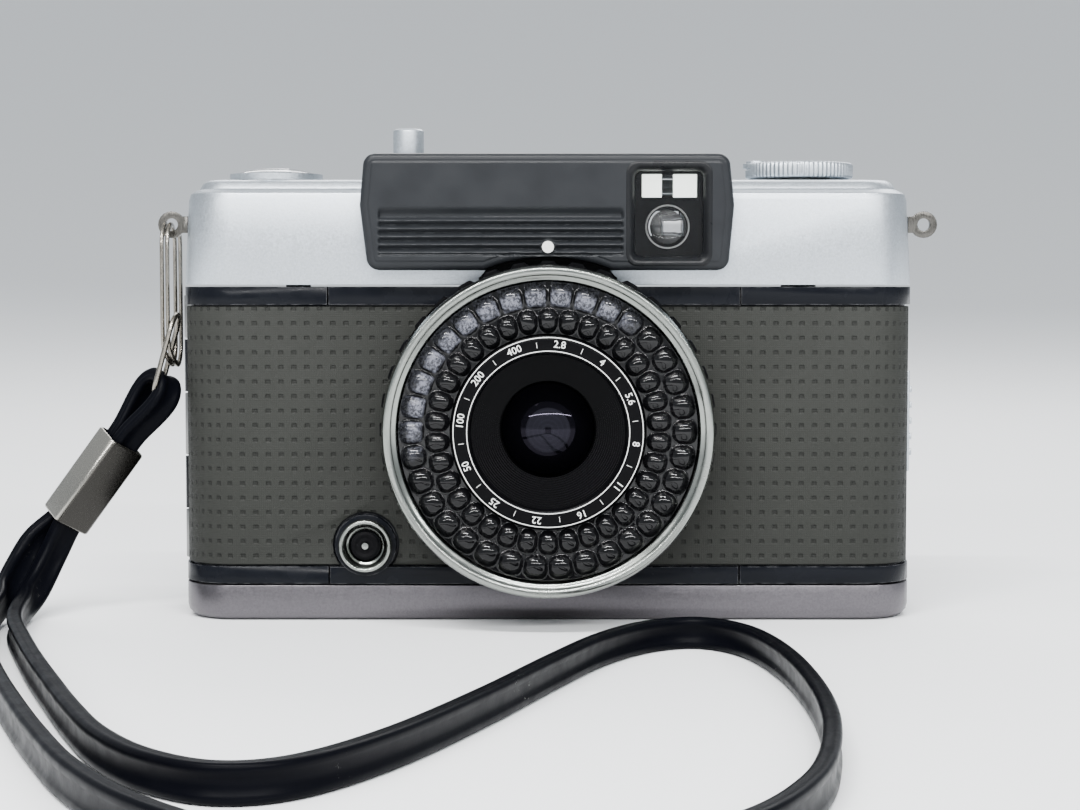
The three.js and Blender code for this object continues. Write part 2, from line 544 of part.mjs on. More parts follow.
function lug(side) {
  const inner = side * (BODY.half - 0.1);
  const [x0, x1] = [inner, side * (LUG.x - 0.6)].sort((a, b) => a - b);
  const stem = block(x0, x1, LUG.y - LUG.half, LUG.y + LUG.half, LUG.z - 1.3, LUG.z + 1.3);
  const eye = rod(side * LUG.x, LUG.z, LUG.y - LUG.half, LUG.y + LUG.half, LUG.outer, 20);
  return cut(joined(stem, eye), rod(side * LUG.x, LUG.z, -5, 10, LUG.hole, 16));
}
part('strap_lug_left', lug(-1), CHROME);
part('strap_lug_right', lug(1), CHROME);

// A wire ring stretched into an oval: length and width are those of the wire's centre line.
function ovalRing(length, width, wire, name, look) {
  const torus = new THREE.TorusGeometry(width / 2, wire, 8, 24);
  torus.rotateZ(THREE.MathUtils.degToRad(7.5));
  const place = torus.attributes.position;
  const shift = (length - width) / 2;
  for (let i = 0; i < place.count; i += 1) place.setY(i, place.getY(i) + Math.sign(place.getY(i)) * shift);
  const mesh = part(name, solid(torus), look);
  mesh.rotation.set(Math.PI / 2, 0, Math.PI / 2, 'ZXY');
  return mesh;
}

ovalRing(SPLIT_RING.length, SPLIT_RING.width, SPLIT_RING.wire, 'split_ring', NICKEL)
  .position.set(SPLIT_RING.x, LUG.y, LUG.z - SPLIT_RING.length / 2);

const linkTop = new THREE.Vector2(...LINK.top);
const linkFoot = new THREE.Vector2(...LINK.foot);
const linkRun = linkFoot.clone().sub(linkTop);
const linkRing = ovalRing(linkRun.length(), LINK.width, LINK.wire, 'strap_link', NICKEL);
const linkTilt = new THREE.Group();
linkTilt.position.set((linkTop.x + linkFoot.x) / 2, LINK.y, (linkTop.y + linkFoot.y) / 2);
linkTilt.rotation.y = Math.atan2(linkRun.x, linkRun.y) - Math.PI;
camera.add(linkTilt);
linkTilt.add(linkRing);

// The clamp and the strap's top loop, drawn upright and tilted together.
const strapHead = new THREE.Group();
strapHead.position.set(CLAMP.x, CLAMP.y, CLAMP.z);
strapHead.rotation.y = CLAMP.tilt;
camera.add(strapHead);
const half = CLAMP.length / 2;
const clampOuter = raised(outline(-3.7, 3.7, -3.9, 3.9, 1.2, 1.2, 3), -half, half);
const clampBore = raised(outline(-3.1, 3.1, -3.2, 3.2, 0.8, 0.8, 3), -half - 1, half + 1);
part('strap_clamp', cut(clampOuter, clampBore), NICKEL, strapHead);

const head = { centre: half + 9.3, radius: 3.2, foot: -half + 6 };
function topLoop() {
  const reach = STRAP.thick / 2;
  const leg = STRAP.spread;
  const body = (grow) => {
    const shape = new THREE.Shape();
    shape.moveTo(-leg - grow, head.foot);
    shape.lineTo(leg + grow, head.foot);
    shape.lineTo(leg + grow, half + 2);
    shape.lineTo(head.radius + grow, head.centre - 1.5);
    shape.absarc(0, head.centre, head.radius + grow, 0, Math.PI, false);
    shape.lineTo(-leg - grow, half + 2);
    return shape.getPoints(6);
  };
  const outer = through(body(reach - 0.1), -STRAP.width / 2, STRAP.width / 2);
  const eye = through(circle(0, head.centre, head.radius - reach, 20), -5, 5);
  return cut(outer, eye);
}
part('strap_top_loop', topLoop(), VINYL, strapHead);

// The strap's route: down out of the clamp, round the left, across the front to the right-hand bend,
// round outside and back beside itself into the clamp. Its middle line, point by point.
const STRAP_ROUTE = [
  [-75.0, -0.2, 13.6], [-77.4, -1.6, 9.6], [-79.1, -4.5, 5.2], [-79.8, -9.5, 2.9], [-79.0, -18, 2.3],
  [-76.5, -30, 2.3], [-72.0, -44, 2.3], [-66.5, -60, 2.3], [-60.6, -76, 2.3], [-54.5, -92, 2.3],
  [-48.4, -106, 2.3], [-41.5, -116.5, 2.3], [-33.5, -122, 2.3], [-25.5, -119, 2.3], [-17.0, -106, 2.3],
  [-8.0, -85, 2.3], [0.5, -62, 2.3], [7.0, -46, 2.3], [14.0, -35.5, 2.3], [21.6, -32.5, 2.3],
  [27.8, -40.5, 2.3], [31.2, -60, 2.3], [31.8, -86, 2.3], [29.8, -108, 2.3], [25.3, -127, 2.3],
  [16.5, -143, 2.3], [2.0, -152, 2.3], [-14.0, -153, 2.3], [-28.0, -146.5, 2.3], [-39.5, -135, 2.3],
  [-48.2, -121, 2.3], [-55.4, -105, 2.3], [-62.0, -88.5, 2.3], [-68.2, -72, 2.3], [-74.0, -55, 2.3],
  [-79.0, -38, 2.3], [-82.2, -22, 2.5], [-83.0, -10.5, 3.9], [-82.2, -4.2, 7.6], [-80.2, -1.2, 11.6],
  [-77.7, -0.2, 15.2],
];

// A curve whose section keeps its width upright where it lies down, and across where it climbs.
class StrapCurve extends THREE.CatmullRomCurve3 {
  computeFrenetFrames(segments) {
    const frames = { tangents: [], normals: [], binormals: [] };
    for (let i = 0; i <= segments; i += 1) {
      const tangent = this.getTangentAt(i / segments);
      const climb = THREE.MathUtils.smoothstep(Math.abs(tangent.z), 0.05, 0.6);
      const width = new THREE.Vector3(0, -climb, 1 - climb);
      width.addScaledVector(tangent, -width.dot(tangent)).normalize();
      frames.tangents.push(tangent);
      frames.binormals.push(width);
      frames.normals.push(new THREE.Vector3().crossVectors(width, tangent));
    }
    return frames;
  }
}

function strap() {
  const points = STRAP_ROUTE.map((place) => new THREE.Vector3(...place));
  const extrudePath = new StrapCurve(points, false, 'centripetal');
  const [t, w] = [STRAP.thick / 2, STRAP.width / 2];
  const section = outline(-t, t, -w, w, 0.7, 0.7, 1);
  return solid(new THREE.ExtrudeGeometry(new THREE.Shape(section), { steps: 60, extrudePath }));
}
part('wrist_strap', strap(), VINYL);

export default camera;
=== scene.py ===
"""The looks of a half frame camera and its wrist strap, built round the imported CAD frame.

Lengths are millimetres until they reach Blender, which works in metres. The lens looks along -Y.
"""

import json
from math import asin, cos, floor, hypot, pi, radians, sin, sqrt

import bmesh
import bpy
from mathutils import Matrix, Vector


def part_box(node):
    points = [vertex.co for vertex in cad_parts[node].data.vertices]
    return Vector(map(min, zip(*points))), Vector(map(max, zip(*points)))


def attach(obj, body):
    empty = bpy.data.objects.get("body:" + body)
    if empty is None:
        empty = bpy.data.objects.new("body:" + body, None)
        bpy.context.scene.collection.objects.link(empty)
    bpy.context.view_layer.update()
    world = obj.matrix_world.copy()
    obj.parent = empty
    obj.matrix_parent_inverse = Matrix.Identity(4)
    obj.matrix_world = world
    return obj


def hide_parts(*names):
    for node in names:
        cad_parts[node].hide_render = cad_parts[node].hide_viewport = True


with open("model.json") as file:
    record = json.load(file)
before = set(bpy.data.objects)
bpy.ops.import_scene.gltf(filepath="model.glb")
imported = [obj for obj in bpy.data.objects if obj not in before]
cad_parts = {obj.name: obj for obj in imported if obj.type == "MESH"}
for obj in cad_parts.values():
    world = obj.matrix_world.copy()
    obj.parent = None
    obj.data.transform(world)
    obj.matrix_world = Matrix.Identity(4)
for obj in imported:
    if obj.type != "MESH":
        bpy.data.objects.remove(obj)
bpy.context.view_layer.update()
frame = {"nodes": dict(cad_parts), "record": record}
NODES = frame["nodes"]
MM = 0.001

# ---------------------------------------------------------------- driving places, from the frame


def box_mm(node):
    """A node's lowest and highest corners in millimetres."""
    low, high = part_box(node)
    return low / MM, high / MM


def middle(node):
    low, high = box_mm(node)
    return (low + high) / 2


LENS_Z = middle("front_bezel").z
BEZEL_FRONT = box_mm("front_bezel")[0].y
RELEASE = middle("release_button")
REWIND = middle("rewind_shaft")
COUNTER = middle("counter_bezel")
SOCKET = middle("sync_socket")
OBJECTIVE = middle("viewfinder_objective")
DOT_Z = middle("index_dot").z
CLAMP = middle("strap_clamp")
CLAMP_LEAN = radians(36)
CLAMP_TURN = radians(-50)
CLAMP_AXIS = Vector((sin(CLAMP_LEAN), 0, cos(CLAMP_LEAN)))
HEAD_FRAME = Matrix.Rotation(CLAMP_TURN, 3, CLAMP_AXIS) @ Matrix.Rotation(CLAMP_LEAN, 3, "Y")
STRAP_WIDTH = 4.4
STRAP_THICK = 2.2
CLAMP_GRIP = (3.0, 7.6)
HEAD = {"leg": 1.15, "foot": -2.5, "neck": 8.6, "eye": 16.6, "radius": 2.9}

# ---------------------------------------------------------------- camera

EYE = Vector((-1.2, -328.0, 52.0))
EYE_PITCH = radians(-3.35)
FOCAL = 69.9


def make_camera():
    data = bpy.data.cameras.new("camera")
    data.lens = FOCAL
    data.sensor_width = 36.0
    data.clip_start = 0.01
    camera = bpy.data.objects.new("camera", data)
    camera.location = EYE * MM
    camera.rotation_euler = (pi / 2 + EYE_PITCH, 0, 0)
    bpy.context.collection.objects.link(camera)
    bpy.context.scene.camera = camera


# ---------------------------------------------------------------- mesh helpers


def new_object(name, mesh, material, body, *nodes, slot):
    """Links a mesh as a piece that rides on a body and stands for CAD nodes."""
    obj = bpy.data.objects.new(name, mesh)
    bpy.context.collection.objects.link(obj)
    mesh.materials.append(material)
    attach(obj, body)
    if nodes:
        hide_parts(*nodes)
    return obj


def mesh_of(name, points, faces, crease=35.0):
    """A mesh from points in millimetres, smooth except over edges sharper than the crease angle."""
    mesh = bpy.data.meshes.new(name)
    mesh.from_pydata([Vector(p) * MM for p in points], [], faces)
    mesh.validate()
    tidy = bmesh.new()
    tidy.from_mesh(mesh)
    bmesh.ops.remove_doubles(tidy, verts=tidy.verts, dist=1e-7)
    bmesh.ops.recalc_face_normals(tidy, faces=tidy.faces)
    tidy.to_mesh(mesh)
    tidy.free()
    mesh.polygons.foreach_set("use_smooth", [True] * len(mesh.polygons))
    mesh.set_sharp_from_angle(angle=radians(crease))
    return mesh


def loop_faces(rings, count, closed_rings=False):
    """Quads between consecutive rings of count points each."""
    faces = []
    spans = rings if closed_rings else rings - 1
    for ring in range(spans):
        after = (ring + 1) % rings
        for i in range(count):
            j = (i + 1) % count
            faces.append((ring * count + i, ring * count + j, after * count + j, after * count + i))
    return faces


def end_caps(rings, count):
    """The two faces that close a run of rings at its ends."""
    last = (rings - 1) * count
    return [tuple(range(count)), tuple(range(last, last + count))]


def angles(count):
    """Equal steps round a full turn."""
    return [2 * pi * i / count for i in range(count)]


def turned_points(profile, segments, place):
    return [place(radius * cos(angle), radius * sin(angle), along)
            for radius, along in profile for angle in angles(segments)]


def along_y(centre):
    return lambda a, b, along: (centre[0] + a, along, centre[1] + b)


def along_z(centre):
    return lambda a, b, along: (centre[0] + a, centre[1] + b, along)


def turned(name, profile, place, closed=False, segments=128, crease=35.0):
    """A turned part from (radius, place on axis) pairs; open profiles are capped at both ends."""
    faces = loop_faces(len(profile), segments, closed)
    if not closed:
        faces += end_caps(len(profile), segments)
    return mesh_of(name, turned_points(profile, segments, place), faces, crease)


def eased(profile, radius=0.12, steps=3, closed=False):
    """The profile with each inner corner rounded off, so that edges catch the light."""
    result = []
    count = len(profile)
    for i, corner in enumerate(profile):
        here = Vector(corner)
        if not closed and i in (0, count - 1):
            result.append(tuple(here))
            continue
        before = Vector(profile[i - 1]) - here
        after = Vector(profile[(i + 1) % count]) - here
        reach = min(radius, before.length * 0.45, after.length * 0.45)
        start = here + before.normalized() * reach
        end = here + after.normalized() * reach
        for k in range(steps + 1):
            t = k / steps
            result.append(tuple(start.lerp(here, t).lerp(here.lerp(end, t), t)))
    return result


def turned_piece(name, profile, place, material, *nodes, slot, body="body", closed=True, segments=64,
                 crease=35.0):
    mesh = turned(name, profile, place, closed, segments, crease)
    new_object(name, mesh, material, body, *nodes, slot=slot)


def swept(name, path, section, frames, closed=False):
    """A section carried along a path; frames gives the two section directions at each point."""
    points = []
    for place, (side, up) in zip(path, frames):
        points.extend(place + side * a + up * b for a, b in section)
    faces = loop_faces(len(path), len(section), closed)
    if not closed:
        faces += end_caps(len(path), len(section))
    return mesh_of(name, points, faces, 60)


def rounded_rect(half_w, half_h, radius, steps):
    points = []
    corners = ((1, -1, -90), (1, 1, 0), (-1, 1, 90), (-1, -1, 180))
    for sx, sy, start in corners:
        for i in range(steps + 1):
            angle = radians(start + 90 * i / steps)
            x = sx * (half_w - radius) + radius * cos(angle)
            y = sy * (half_h - radius) + radius * sin(angle)
            points.append((x, y))
    return points


def merged(name, meshes):
    """Several meshes as one."""
    whole = bmesh.new()
    for mesh in meshes:
        whole.from_mesh(mesh)
        bpy.data.meshes.remove(mesh)
    mesh = bpy.data.meshes.new(name)
    whole.to_mesh(mesh)
    whole.free()
    return mesh


# ---------------------------------------------------------------- strap: the free cord comes first

STRAP_ROUTE = [
    (-75.0, -0.2, 13.6), (-77.4, -1.6, 9.6), (-79.1, -4.5, 5.2), (-79.8, -9.5, 2.9), (-79.0, -18, 2.3),
    (-76.5, -30, 2.3), (-72.0, -44, 2.3), (-66.5, -60, 2.3), (-60.6, -76, 2.3), (-54.5, -92, 2.3),
    (-48.4, -106, 2.3), (-41.5, -116.5, 2.3), (-33.5, -122, 2.3), (-25.5, -119, 2.3), (-17.0, -106, 2.3),
    (-8.0, -85, 2.3), (0.5, -62, 2.3), (7.0, -46, 2.3), (14.0, -35.5, 2.3), (21.6, -32.5, 2.3),
    (27.8, -40.5, 2.3), (31.2, -60, 2.3), (31.8, -86, 2.3), (29.8, -108, 2.3), (25.3, -127, 2.3),
    (16.5, -143, 2.3), (2.0, -152, 2.3), (-14.0, -153, 2.3), (-28.0, -146.5, 2.3), (-39.5, -135, 2.3),
    (-48.2, -121, 2.3), (-55.4, -105, 2.3), (-62.0, -88.5, 2.3), (-68.2, -72, 2.3), (-74.0, -55, 2.3),
    (-79.0, -38, 2.3), (-82.2, -22, 2.5), (-83.0, -10.5, 3.9), (-82.2, -4.2, 7.6), (-80.2, -1.2, 11.6),
    (-77.7, -0.2, 15.2),
]


def spline(points):
    """A Catmull-Rom curve through the points."""
    steps = 10
    padded = [points[0] * 2 - points[1], *points, points[-1] * 2 - points[-2]]
    path = []
    for i in range(1, len(padded) - 2):
        a, b, c, d = padded[i - 1:i + 3]
        for k in range(steps):
            t = k / steps
            path.append(0.5 * (2 * b + (c - a) * t + (2 * a - 5 * b + 4 * c - d) * t**2
                               + (3 * b - a - 3 * c + d) * t**3))
    path.append(padded[-2])
    return path


def tangents(path):
    last = len(path) - 1
    return [(path[min(i + 1, last)] - path[max(i - 1, 0)]).normalized() for i in range(last + 1)]


def smoothstep(value, low, high):
    t = min(max((value - low) / (high - low), 0), 1)
    return t * t * (3 - 2 * t)


def strap_frames(path):
    """The strap stands on its edge where it lies, and turns across where it climbs to its clamp."""
    frames = []
    for tangent in tangents(path):
        climb = smoothstep(abs(tangent.z), 0.05, 0.6)
        width = Vector((0, 0, 1 - climb)) - HEAD_FRAME @ Vector((0, climb, 0))
        width = (width - tangent * width.dot(tangent)).normalized()
        frames.append((width.cross(tangent), width))
    return frames


def strap_section():
    """A band with a rounded bead along both edges and a shallow groove down each bead's outer side."""
    half_w, half_t = STRAP_WIDTH / 2, STRAP_THICK / 2
    bead, web = 0.62, half_t * 0.70
    side = [(half_t, half_w - 0.75), (half_t * 0.97, half_w - 0.35), (half_t * 0.72, half_w - 0.06),
            (half_t * 0.3, half_w), (0.0, half_w - 0.16)]
    inner = [(web, 0.0), (web, half_w - 2 * bead - 0.25), (half_t * 0.92, half_w - 2 * bead + 0.1)]
    quarter = inner + side
    upper = quarter + [(-x, y) for x, y in reversed(quarter[:-1])]
    return upper + [(x, -y) for x, y in reversed(upper)][1:-1]


def make_strap(material, head_pieces):
    shift = HEAD_FRAME @ Vector((HEAD["leg"], 0, 0))
    starts = [CLAMP - CLAMP_AXIS * along + shift for along in CLAMP_GRIP]
    ends = [CLAMP - CLAMP_AXIS * along - shift for along in reversed(CLAMP_GRIP)]
    route = [*starts, *(Vector(p) for p in STRAP_ROUTE[1:-1]), *ends]
    path = spline(route)
    mesh = swept("wrist_strap_ribbed", path, strap_section(), strap_frames(path))
    strap = new_object("wrist_strap_ribbed", mesh, material, "body", "wrist_strap", slot="vinyl")


# ---------------------------------------------------------------- materials


def shade(color, factor):
    return tuple(min(1, part * factor) for part in color)


class Paint:
    """One material: a Principled shader, and short calls for the nodes that feed it."""

    def __init__(self, name, color, roughness, metallic=0.0, **sockets):
        self.material = bpy.data.materials.new(name)
        self.material.use_nodes = True
        self.tree = self.material.node_tree
        self.shader = self.tree.nodes["Principled BSDF"]
        self.shader.inputs["Base Color"].default_value = (*color, 1)
        self.shader.inputs["Roughness"].default_value = roughness
        self.shader.inputs["Metallic"].default_value = metallic
        for key, value in sockets.items():
            self.shader.inputs[key.replace("_", " ")].default_value = value
        self.place = None

    def node(self, kind, inputs=(), **settings):
        made = self.tree.nodes.new(kind)
        for key, value in settings.items():
            setattr(made, key, value)
        for socket, value in dict(inputs).items():
            if isinstance(value, bpy.types.NodeSocket):
                self.tree.links.new(value, made.inputs[socket])
            else:
                made.inputs[socket].default_value = value
        return made

    def coords(self):
        """Places on the object in millimetres."""
        if self.place is None:
            source = self.node("ShaderNodeTexCoord").outputs["Object"]
            scaled = self.node("ShaderNodeVectorMath", {0: source, 1: (1 / MM,) * 3}, operation="MULTIPLY")
            self.place = scaled.outputs[0]
        return self.place

    def stretched(self, x, y, z):
        made = self.node("ShaderNodeVectorMath", {0: self.coords(), 1: (x, y, z)}, operation="MULTIPLY")
        return made.outputs[0]

    def noise(self, size, detail=3.0, place=None, roughness=0.55):
        """Noise whose features are about size millimetres across."""
        made = self.node("ShaderNodeTexNoise", {
            "Vector": place or self.coords(), "Scale": 1 / size, "Detail": detail, "Roughness": roughness})
        return made.outputs["Fac"]

    def math(self, operation, a, b=0.0):
        return self.node("ShaderNodeMath", {0: a, 1: b}, operation=operation).outputs[0]

    def times(self, product, *factors):
        for factor in factors:
            product = self.math("MULTIPLY", product, factor)
        return product

    def from_lens_axis(self):
        """The distances across, up and outward from the lens axis, in millimetres."""
        across, _, z = self.node("ShaderNodeSeparateXYZ", {0: self.coords()}).outputs
        up = self.math("SUBTRACT", z, LENS_Z)
        return across, up, self.math("SQRT", self.math("ADD", self.times(across, across), self.times(up, up)))

    def spread(self, value, low, high, to_low, to_high):
        made = self.node("ShaderNodeMapRange", {
            "Value": value, "From Min": low, "From Max": high, "To Min": to_low, "To Max": to_high})
        return made.outputs["Result"]

    def mix(self, factor, a, b):
        made = self.node("ShaderNodeMix", {0: factor}, data_type="RGBA")
        for socket, value in ((made.inputs[6], a), (made.inputs[7], b)):
            if isinstance(value, bpy.types.NodeSocket):
                self.tree.links.new(value, socket)
            else:
                socket.default_value = (*value, 1)
        return made.outputs[2]

    def shades(self, factor, color, dark, light):
        """The color between a darker and a lighter shade of itself."""
        return self.mix(factor, shade(color, dark), shade(color, light))

    def color(self, value):
        self.tree.links.new(value, self.shader.inputs["Base Color"])

    def roughness(self, value):
        self.tree.links.new(value, self.shader.inputs["Roughness"])

    def bump(self, height, distance, strength, under=None):
        """Adds relief of about distance millimetres and returns its normal."""
        inputs = {"Height": height, "Distance": distance * MM, "Strength": strength}
        if under is not None:
            inputs["Normal"] = under
        normal = self.node("ShaderNodeBump", inputs).outputs["Normal"]
        self.tree.links.new(normal, self.shader.inputs["Normal"])
        return normal

    def edge_wear(self, amount):
        """A mask of rubbed patches along sharp edges."""
        rounded = self.node("ShaderNodeBevel", {"Radius": 0.22 * MM}, samples=4).outputs[0]
        plain = self.node("ShaderNodeNewGeometry").outputs["Normal"]
        bend = self.node("ShaderNodeVectorMath", {0: rounded, 1: plain}, operation="DOT_PRODUCT")
        edge = self.spread(bend.outputs["Value"], 0.985, 0.85, 0, 1)
        return self.times(edge, self.spread(self.noise(1.5, 5), 0.42, 0.60, 0, amount))


def satin_metal(name="satin_metal", color=(0.48, 0.52, 0.56), roughness=0.40):
    """Sand-blasted aluminium: a fine sparkling grain with faint clouds."""
    paint = Paint(name, color, roughness, 1.0)
    grain = paint.noise(0.34, 4, roughness=0.8)
    sparkle = paint.spread(grain, 0.35, 0.65, -0.22, 0.22)
    cloud = paint.spread(paint.noise(14, 3), 0.3, 0.7, -0.03, 0.03)
    tone = paint.math("ADD", paint.math("ADD", sparkle, cloud), 0.5)
    paint.color(paint.shades(tone, color, 0.72, 1.28))
    paint.roughness(paint.spread(grain, 0.3, 0.7, roughness - 0.08, roughness + 0.10))
    paint.bump(grain, 0.03, 0.6)
    return paint.material


def chrome():
    """Polished chrome under an uneven haze."""
    paint = Paint("chrome", (0.27, 0.285, 0.265), 0.20, 1.0)
    paint.roughness(paint.spread(paint.noise(3.5, 5), 0.35, 0.7, 0.15, 0.32))
    paint.bump(paint.noise(0.25, 3), 0.004, 0.5)
    return paint.material


DRAWN_LINE = 0.12


def brushed(name, color, roughness, stretch):
    """Metal with fine drawn lines along one direction."""
    paint = Paint(name, color, roughness, 1.0)
    lines = paint.noise(DRAWN_LINE, 3, paint.stretched(*stretch))
    paint.color(paint.shades(lines, color, 0.78, 1.15))
    paint.roughness(paint.spread(lines, 0.3, 0.7, roughness - 0.07, roughness + 0.1))
    paint.bump(lines, 0.006, 0.6)
    return paint.material


def clamp_nickel():
    """The strap clamp's drawn nickel, with a painted dark reflection of the camera body on the flank that
    faces it.
    """
    color = (0.36, 0.345, 0.31)
    paint = Paint("clamp_nickel", color, 0.24, 1.0)
    lines = paint.noise(DRAWN_LINE, 3, paint.stretched(1, 1, 0.3))
    # The flank that faces the camera body is painted near black: a painted reflection of the dark body beside
    # it.
    normal = paint.node("ShaderNodeNewGeometry").outputs["Normal"]
    flank = tuple(HEAD_FRAME @ Vector((1, 0, 0)))
    facing = paint.node("ShaderNodeVectorMath", {0: normal, 1: flank}, operation="DOT_PRODUCT")
    painted_dark_reflection = paint.spread(facing.outputs["Value"], 0.55, 0.95, 0, 0.93)
    paint.color(paint.mix(painted_dark_reflection, paint.shades(lines, color, 0.8, 1.15), (0.012, 0.0115, 0.011)))
    paint.roughness(paint.spread(lines, 0.3, 0.7, 0.20, 0.32))
    paint.bump(lines, 0.006, 0.6)
    return paint.material


def black_enamel():
    """Gloss enamel with an orange-peel surface, rubbed grey along its edges."""
    color = (0.003, 0.0035, 0.005)
    paint = Paint("black_enamel", color, 0.22, Specular_IOR_Level=0.09)
    smudge = paint.noise(6, 4)
    paint.color(paint.mix(paint.edge_wear(0.4), paint.shades(smudge, color, 1, 1.7), (0.25, 0.25, 0.26)))
    paint.roughness(paint.spread(smudge, 0.35, 0.7, 0.16, 0.36))
    paint.bump(paint.noise(0.5, 3), 0.012, 0.4)
    return paint.material


def grey_enamel(name="grey_enamel", color=(0.012, 0.0132, 0.0152), roughness=0.38):
    """The escutcheon's satin dark grey, with a fine stipple."""
    paint = Paint(name, color, roughness, Specular_IOR_Level=0.17)
    cloud = paint.noise(5, 4)
    paint.color(paint.mix(paint.edge_wear(0.25), paint.shades(cloud, color, 0.88, 1.15), (0.20, 0.21, 0.22)))
    paint.roughness(paint.spread(cloud, 0.3, 0.7, roughness - 0.06, roughness + 0.08))
    paint.bump(paint.noise(0.2, 2), 0.012, 0.5)
    return paint.material


def matt_black(name="matt_black", color=(0.002, 0.002, 0.0025), roughness=0.6):
    """Dull black with a little pale dust."""
    paint = Paint(name, color, roughness, Specular_IOR_Level=0.06)
    paint.color(paint.shades(paint.spread(paint.noise(0.6, 4), 0.55, 0.8, 0, 0.5), color, 1, 2.2))
    paint.bump(paint.noise(0.15, 2), 0.01, 0.5)
    return paint.material


LEATHER_PITCH = (2.0, 2.23)
WEAVE_PITCH = (0.30, 0.279)
# Behind this place along Y the pattern runs the other way, so that it goes round the corner unstretched.
LEATHER_SEAM = 13.5


def leatherette():
    """Olive leatherette: a grid of small pressed dots over a fine ribbed weave."""
    color = (0.0215, 0.0225, 0.0200)
    paint = Paint("leatherette", color, 0.62, Specular_IOR_Level=0.14)
    x, y, z = paint.node("ShaderNodeSeparateXYZ", {0: paint.coords()}).outputs
    side = paint.spread(y, LEATHER_SEAM, LEATHER_SEAM + 0.1, 1, -1)
    around = paint.math("ADD", paint.times(paint.math("ABSOLUTE", x), side), y)

    def cell(value, pitch):
        """Distance from the middle of its cell, from 0 to 1."""
        part = paint.math("FRACT", paint.math("DIVIDE", value, pitch))
        return paint.times(paint.math("ABSOLUTE", paint.math("SUBTRACT", part, 0.5)), 2.0)

    wide, tall = cell(around, LEATHER_PITCH[0]), cell(z, LEATHER_PITCH[1])
    spot = paint.times(paint.spread(wide, 0.26, 0.46, 1, 0), paint.spread(tall, 0.18, 0.36, 1, 0))
    weave = paint.times(cell(around, WEAVE_PITCH[0]), cell(z, WEAVE_PITCH[1]))
    grain = paint.noise(0.5, 4)
    tone = paint.shades(paint.noise(9, 3), color, 0.86, 1.12)
    # The pressed dots and the grooves of the weave are painted darker: painted shade in these hollows.
    tone = paint.mix(paint.spread(weave, 0, 0.5, 0.35, 0), tone, shade(color, 0.62))
    paint.color(paint.mix(paint.times(spot, 0.75), tone, shade(color, 0.42)))
    paint.roughness(paint.spread(grain, 0.3, 0.7, 0.52, 0.72))
    under = paint.bump(weave, 0.05, 0.6)
    under = paint.bump(grain, 0.03, 0.35, under)
    paint.bump(paint.math("SUBTRACT", 1.0, spot), 0.16, 0.9, under)
    return paint.material


def vinyl():
    """Black strap vinyl with a bluish sheen, a fine grain and a few pale scuffs."""
    color = (0.0016, 0.0018, 0.003)
    paint = Paint("strap_vinyl", color, 0.36, Specular_IOR_Level=0.035)
    patch = paint.spread(paint.noise(22, 2), 0.60, 0.66, 0, 1)
    fleck = paint.spread(paint.noise(0.7, 6, roughness=0.75), 0.62, 0.70, 0, 1)
    paint.color(paint.mix(paint.times(patch, fleck), color, (0.33, 0.33, 0.31)))
    paint.roughness(paint.spread(paint.noise(3, 4), 0.3, 0.7, 0.30, 0.44))
    paint.bump(paint.noise(0.4, 4), 0.02, 0.35)
    return paint.material


def clear(name, ior=1.3, **sockets):
    """Clear plastic or glass with a few smears."""
    paint = Paint(name, (1, 1, 1), 0.02, Transmission_Weight=1.0, IOR=ior, **sockets)
    paint.roughness(paint.spread(paint.noise(4, 4), 0.45, 0.75, 0.02, 0.08))
    return paint.material


# Size of the painted grey disc that stands for the lit iris, and of the dark stop in it.
PAINTED_IRIS = {"radius": 3.4, "edge": 0.15, "stop": 0.4, "stop_edge": 0.1}


def coated_glass():
    """The coated front lens, drawn opaque: its black is painted shade for the dark lens behind it, and a
    painted grey disc with faint rings stands for the lit iris seen through the glass, the small stop dark in
    its middle.
    """
    black = (0.001, 0.001, 0.0015)
    paint = Paint("coated_glass", black, 0.03, Specular_IOR_Level=0.10, Specular_Tint=(0.80, 0.72, 1.0, 1))
    x, up, radius = paint.from_lens_axis()
    painted_iris = paint.spread(radius, PAINTED_IRIS["radius"] - PAINTED_IRIS["edge"], PAINTED_IRIS["radius"], 1, 0)
    square = paint.math("MAXIMUM", paint.math("ABSOLUTE", x), paint.math("ABSOLUTE", up))
    stop = paint.spread(square, PAINTED_IRIS["stop"], PAINTED_IRIS["stop"] + PAINTED_IRIS["stop_edge"], 0, 1)
    rings = paint.spread(paint.math("SINE", paint.times(radius, 9.0)), 0.6, 1.0, 0.75, 1.0)
    paint.color(paint.mix(paint.times(painted_iris, stop, rings), black, (0.009, 0.009, 0.012)))
    paint.roughness(paint.spread(paint.noise(3, 3), 0.4, 0.7, 0.02, 0.06))
    return paint.material


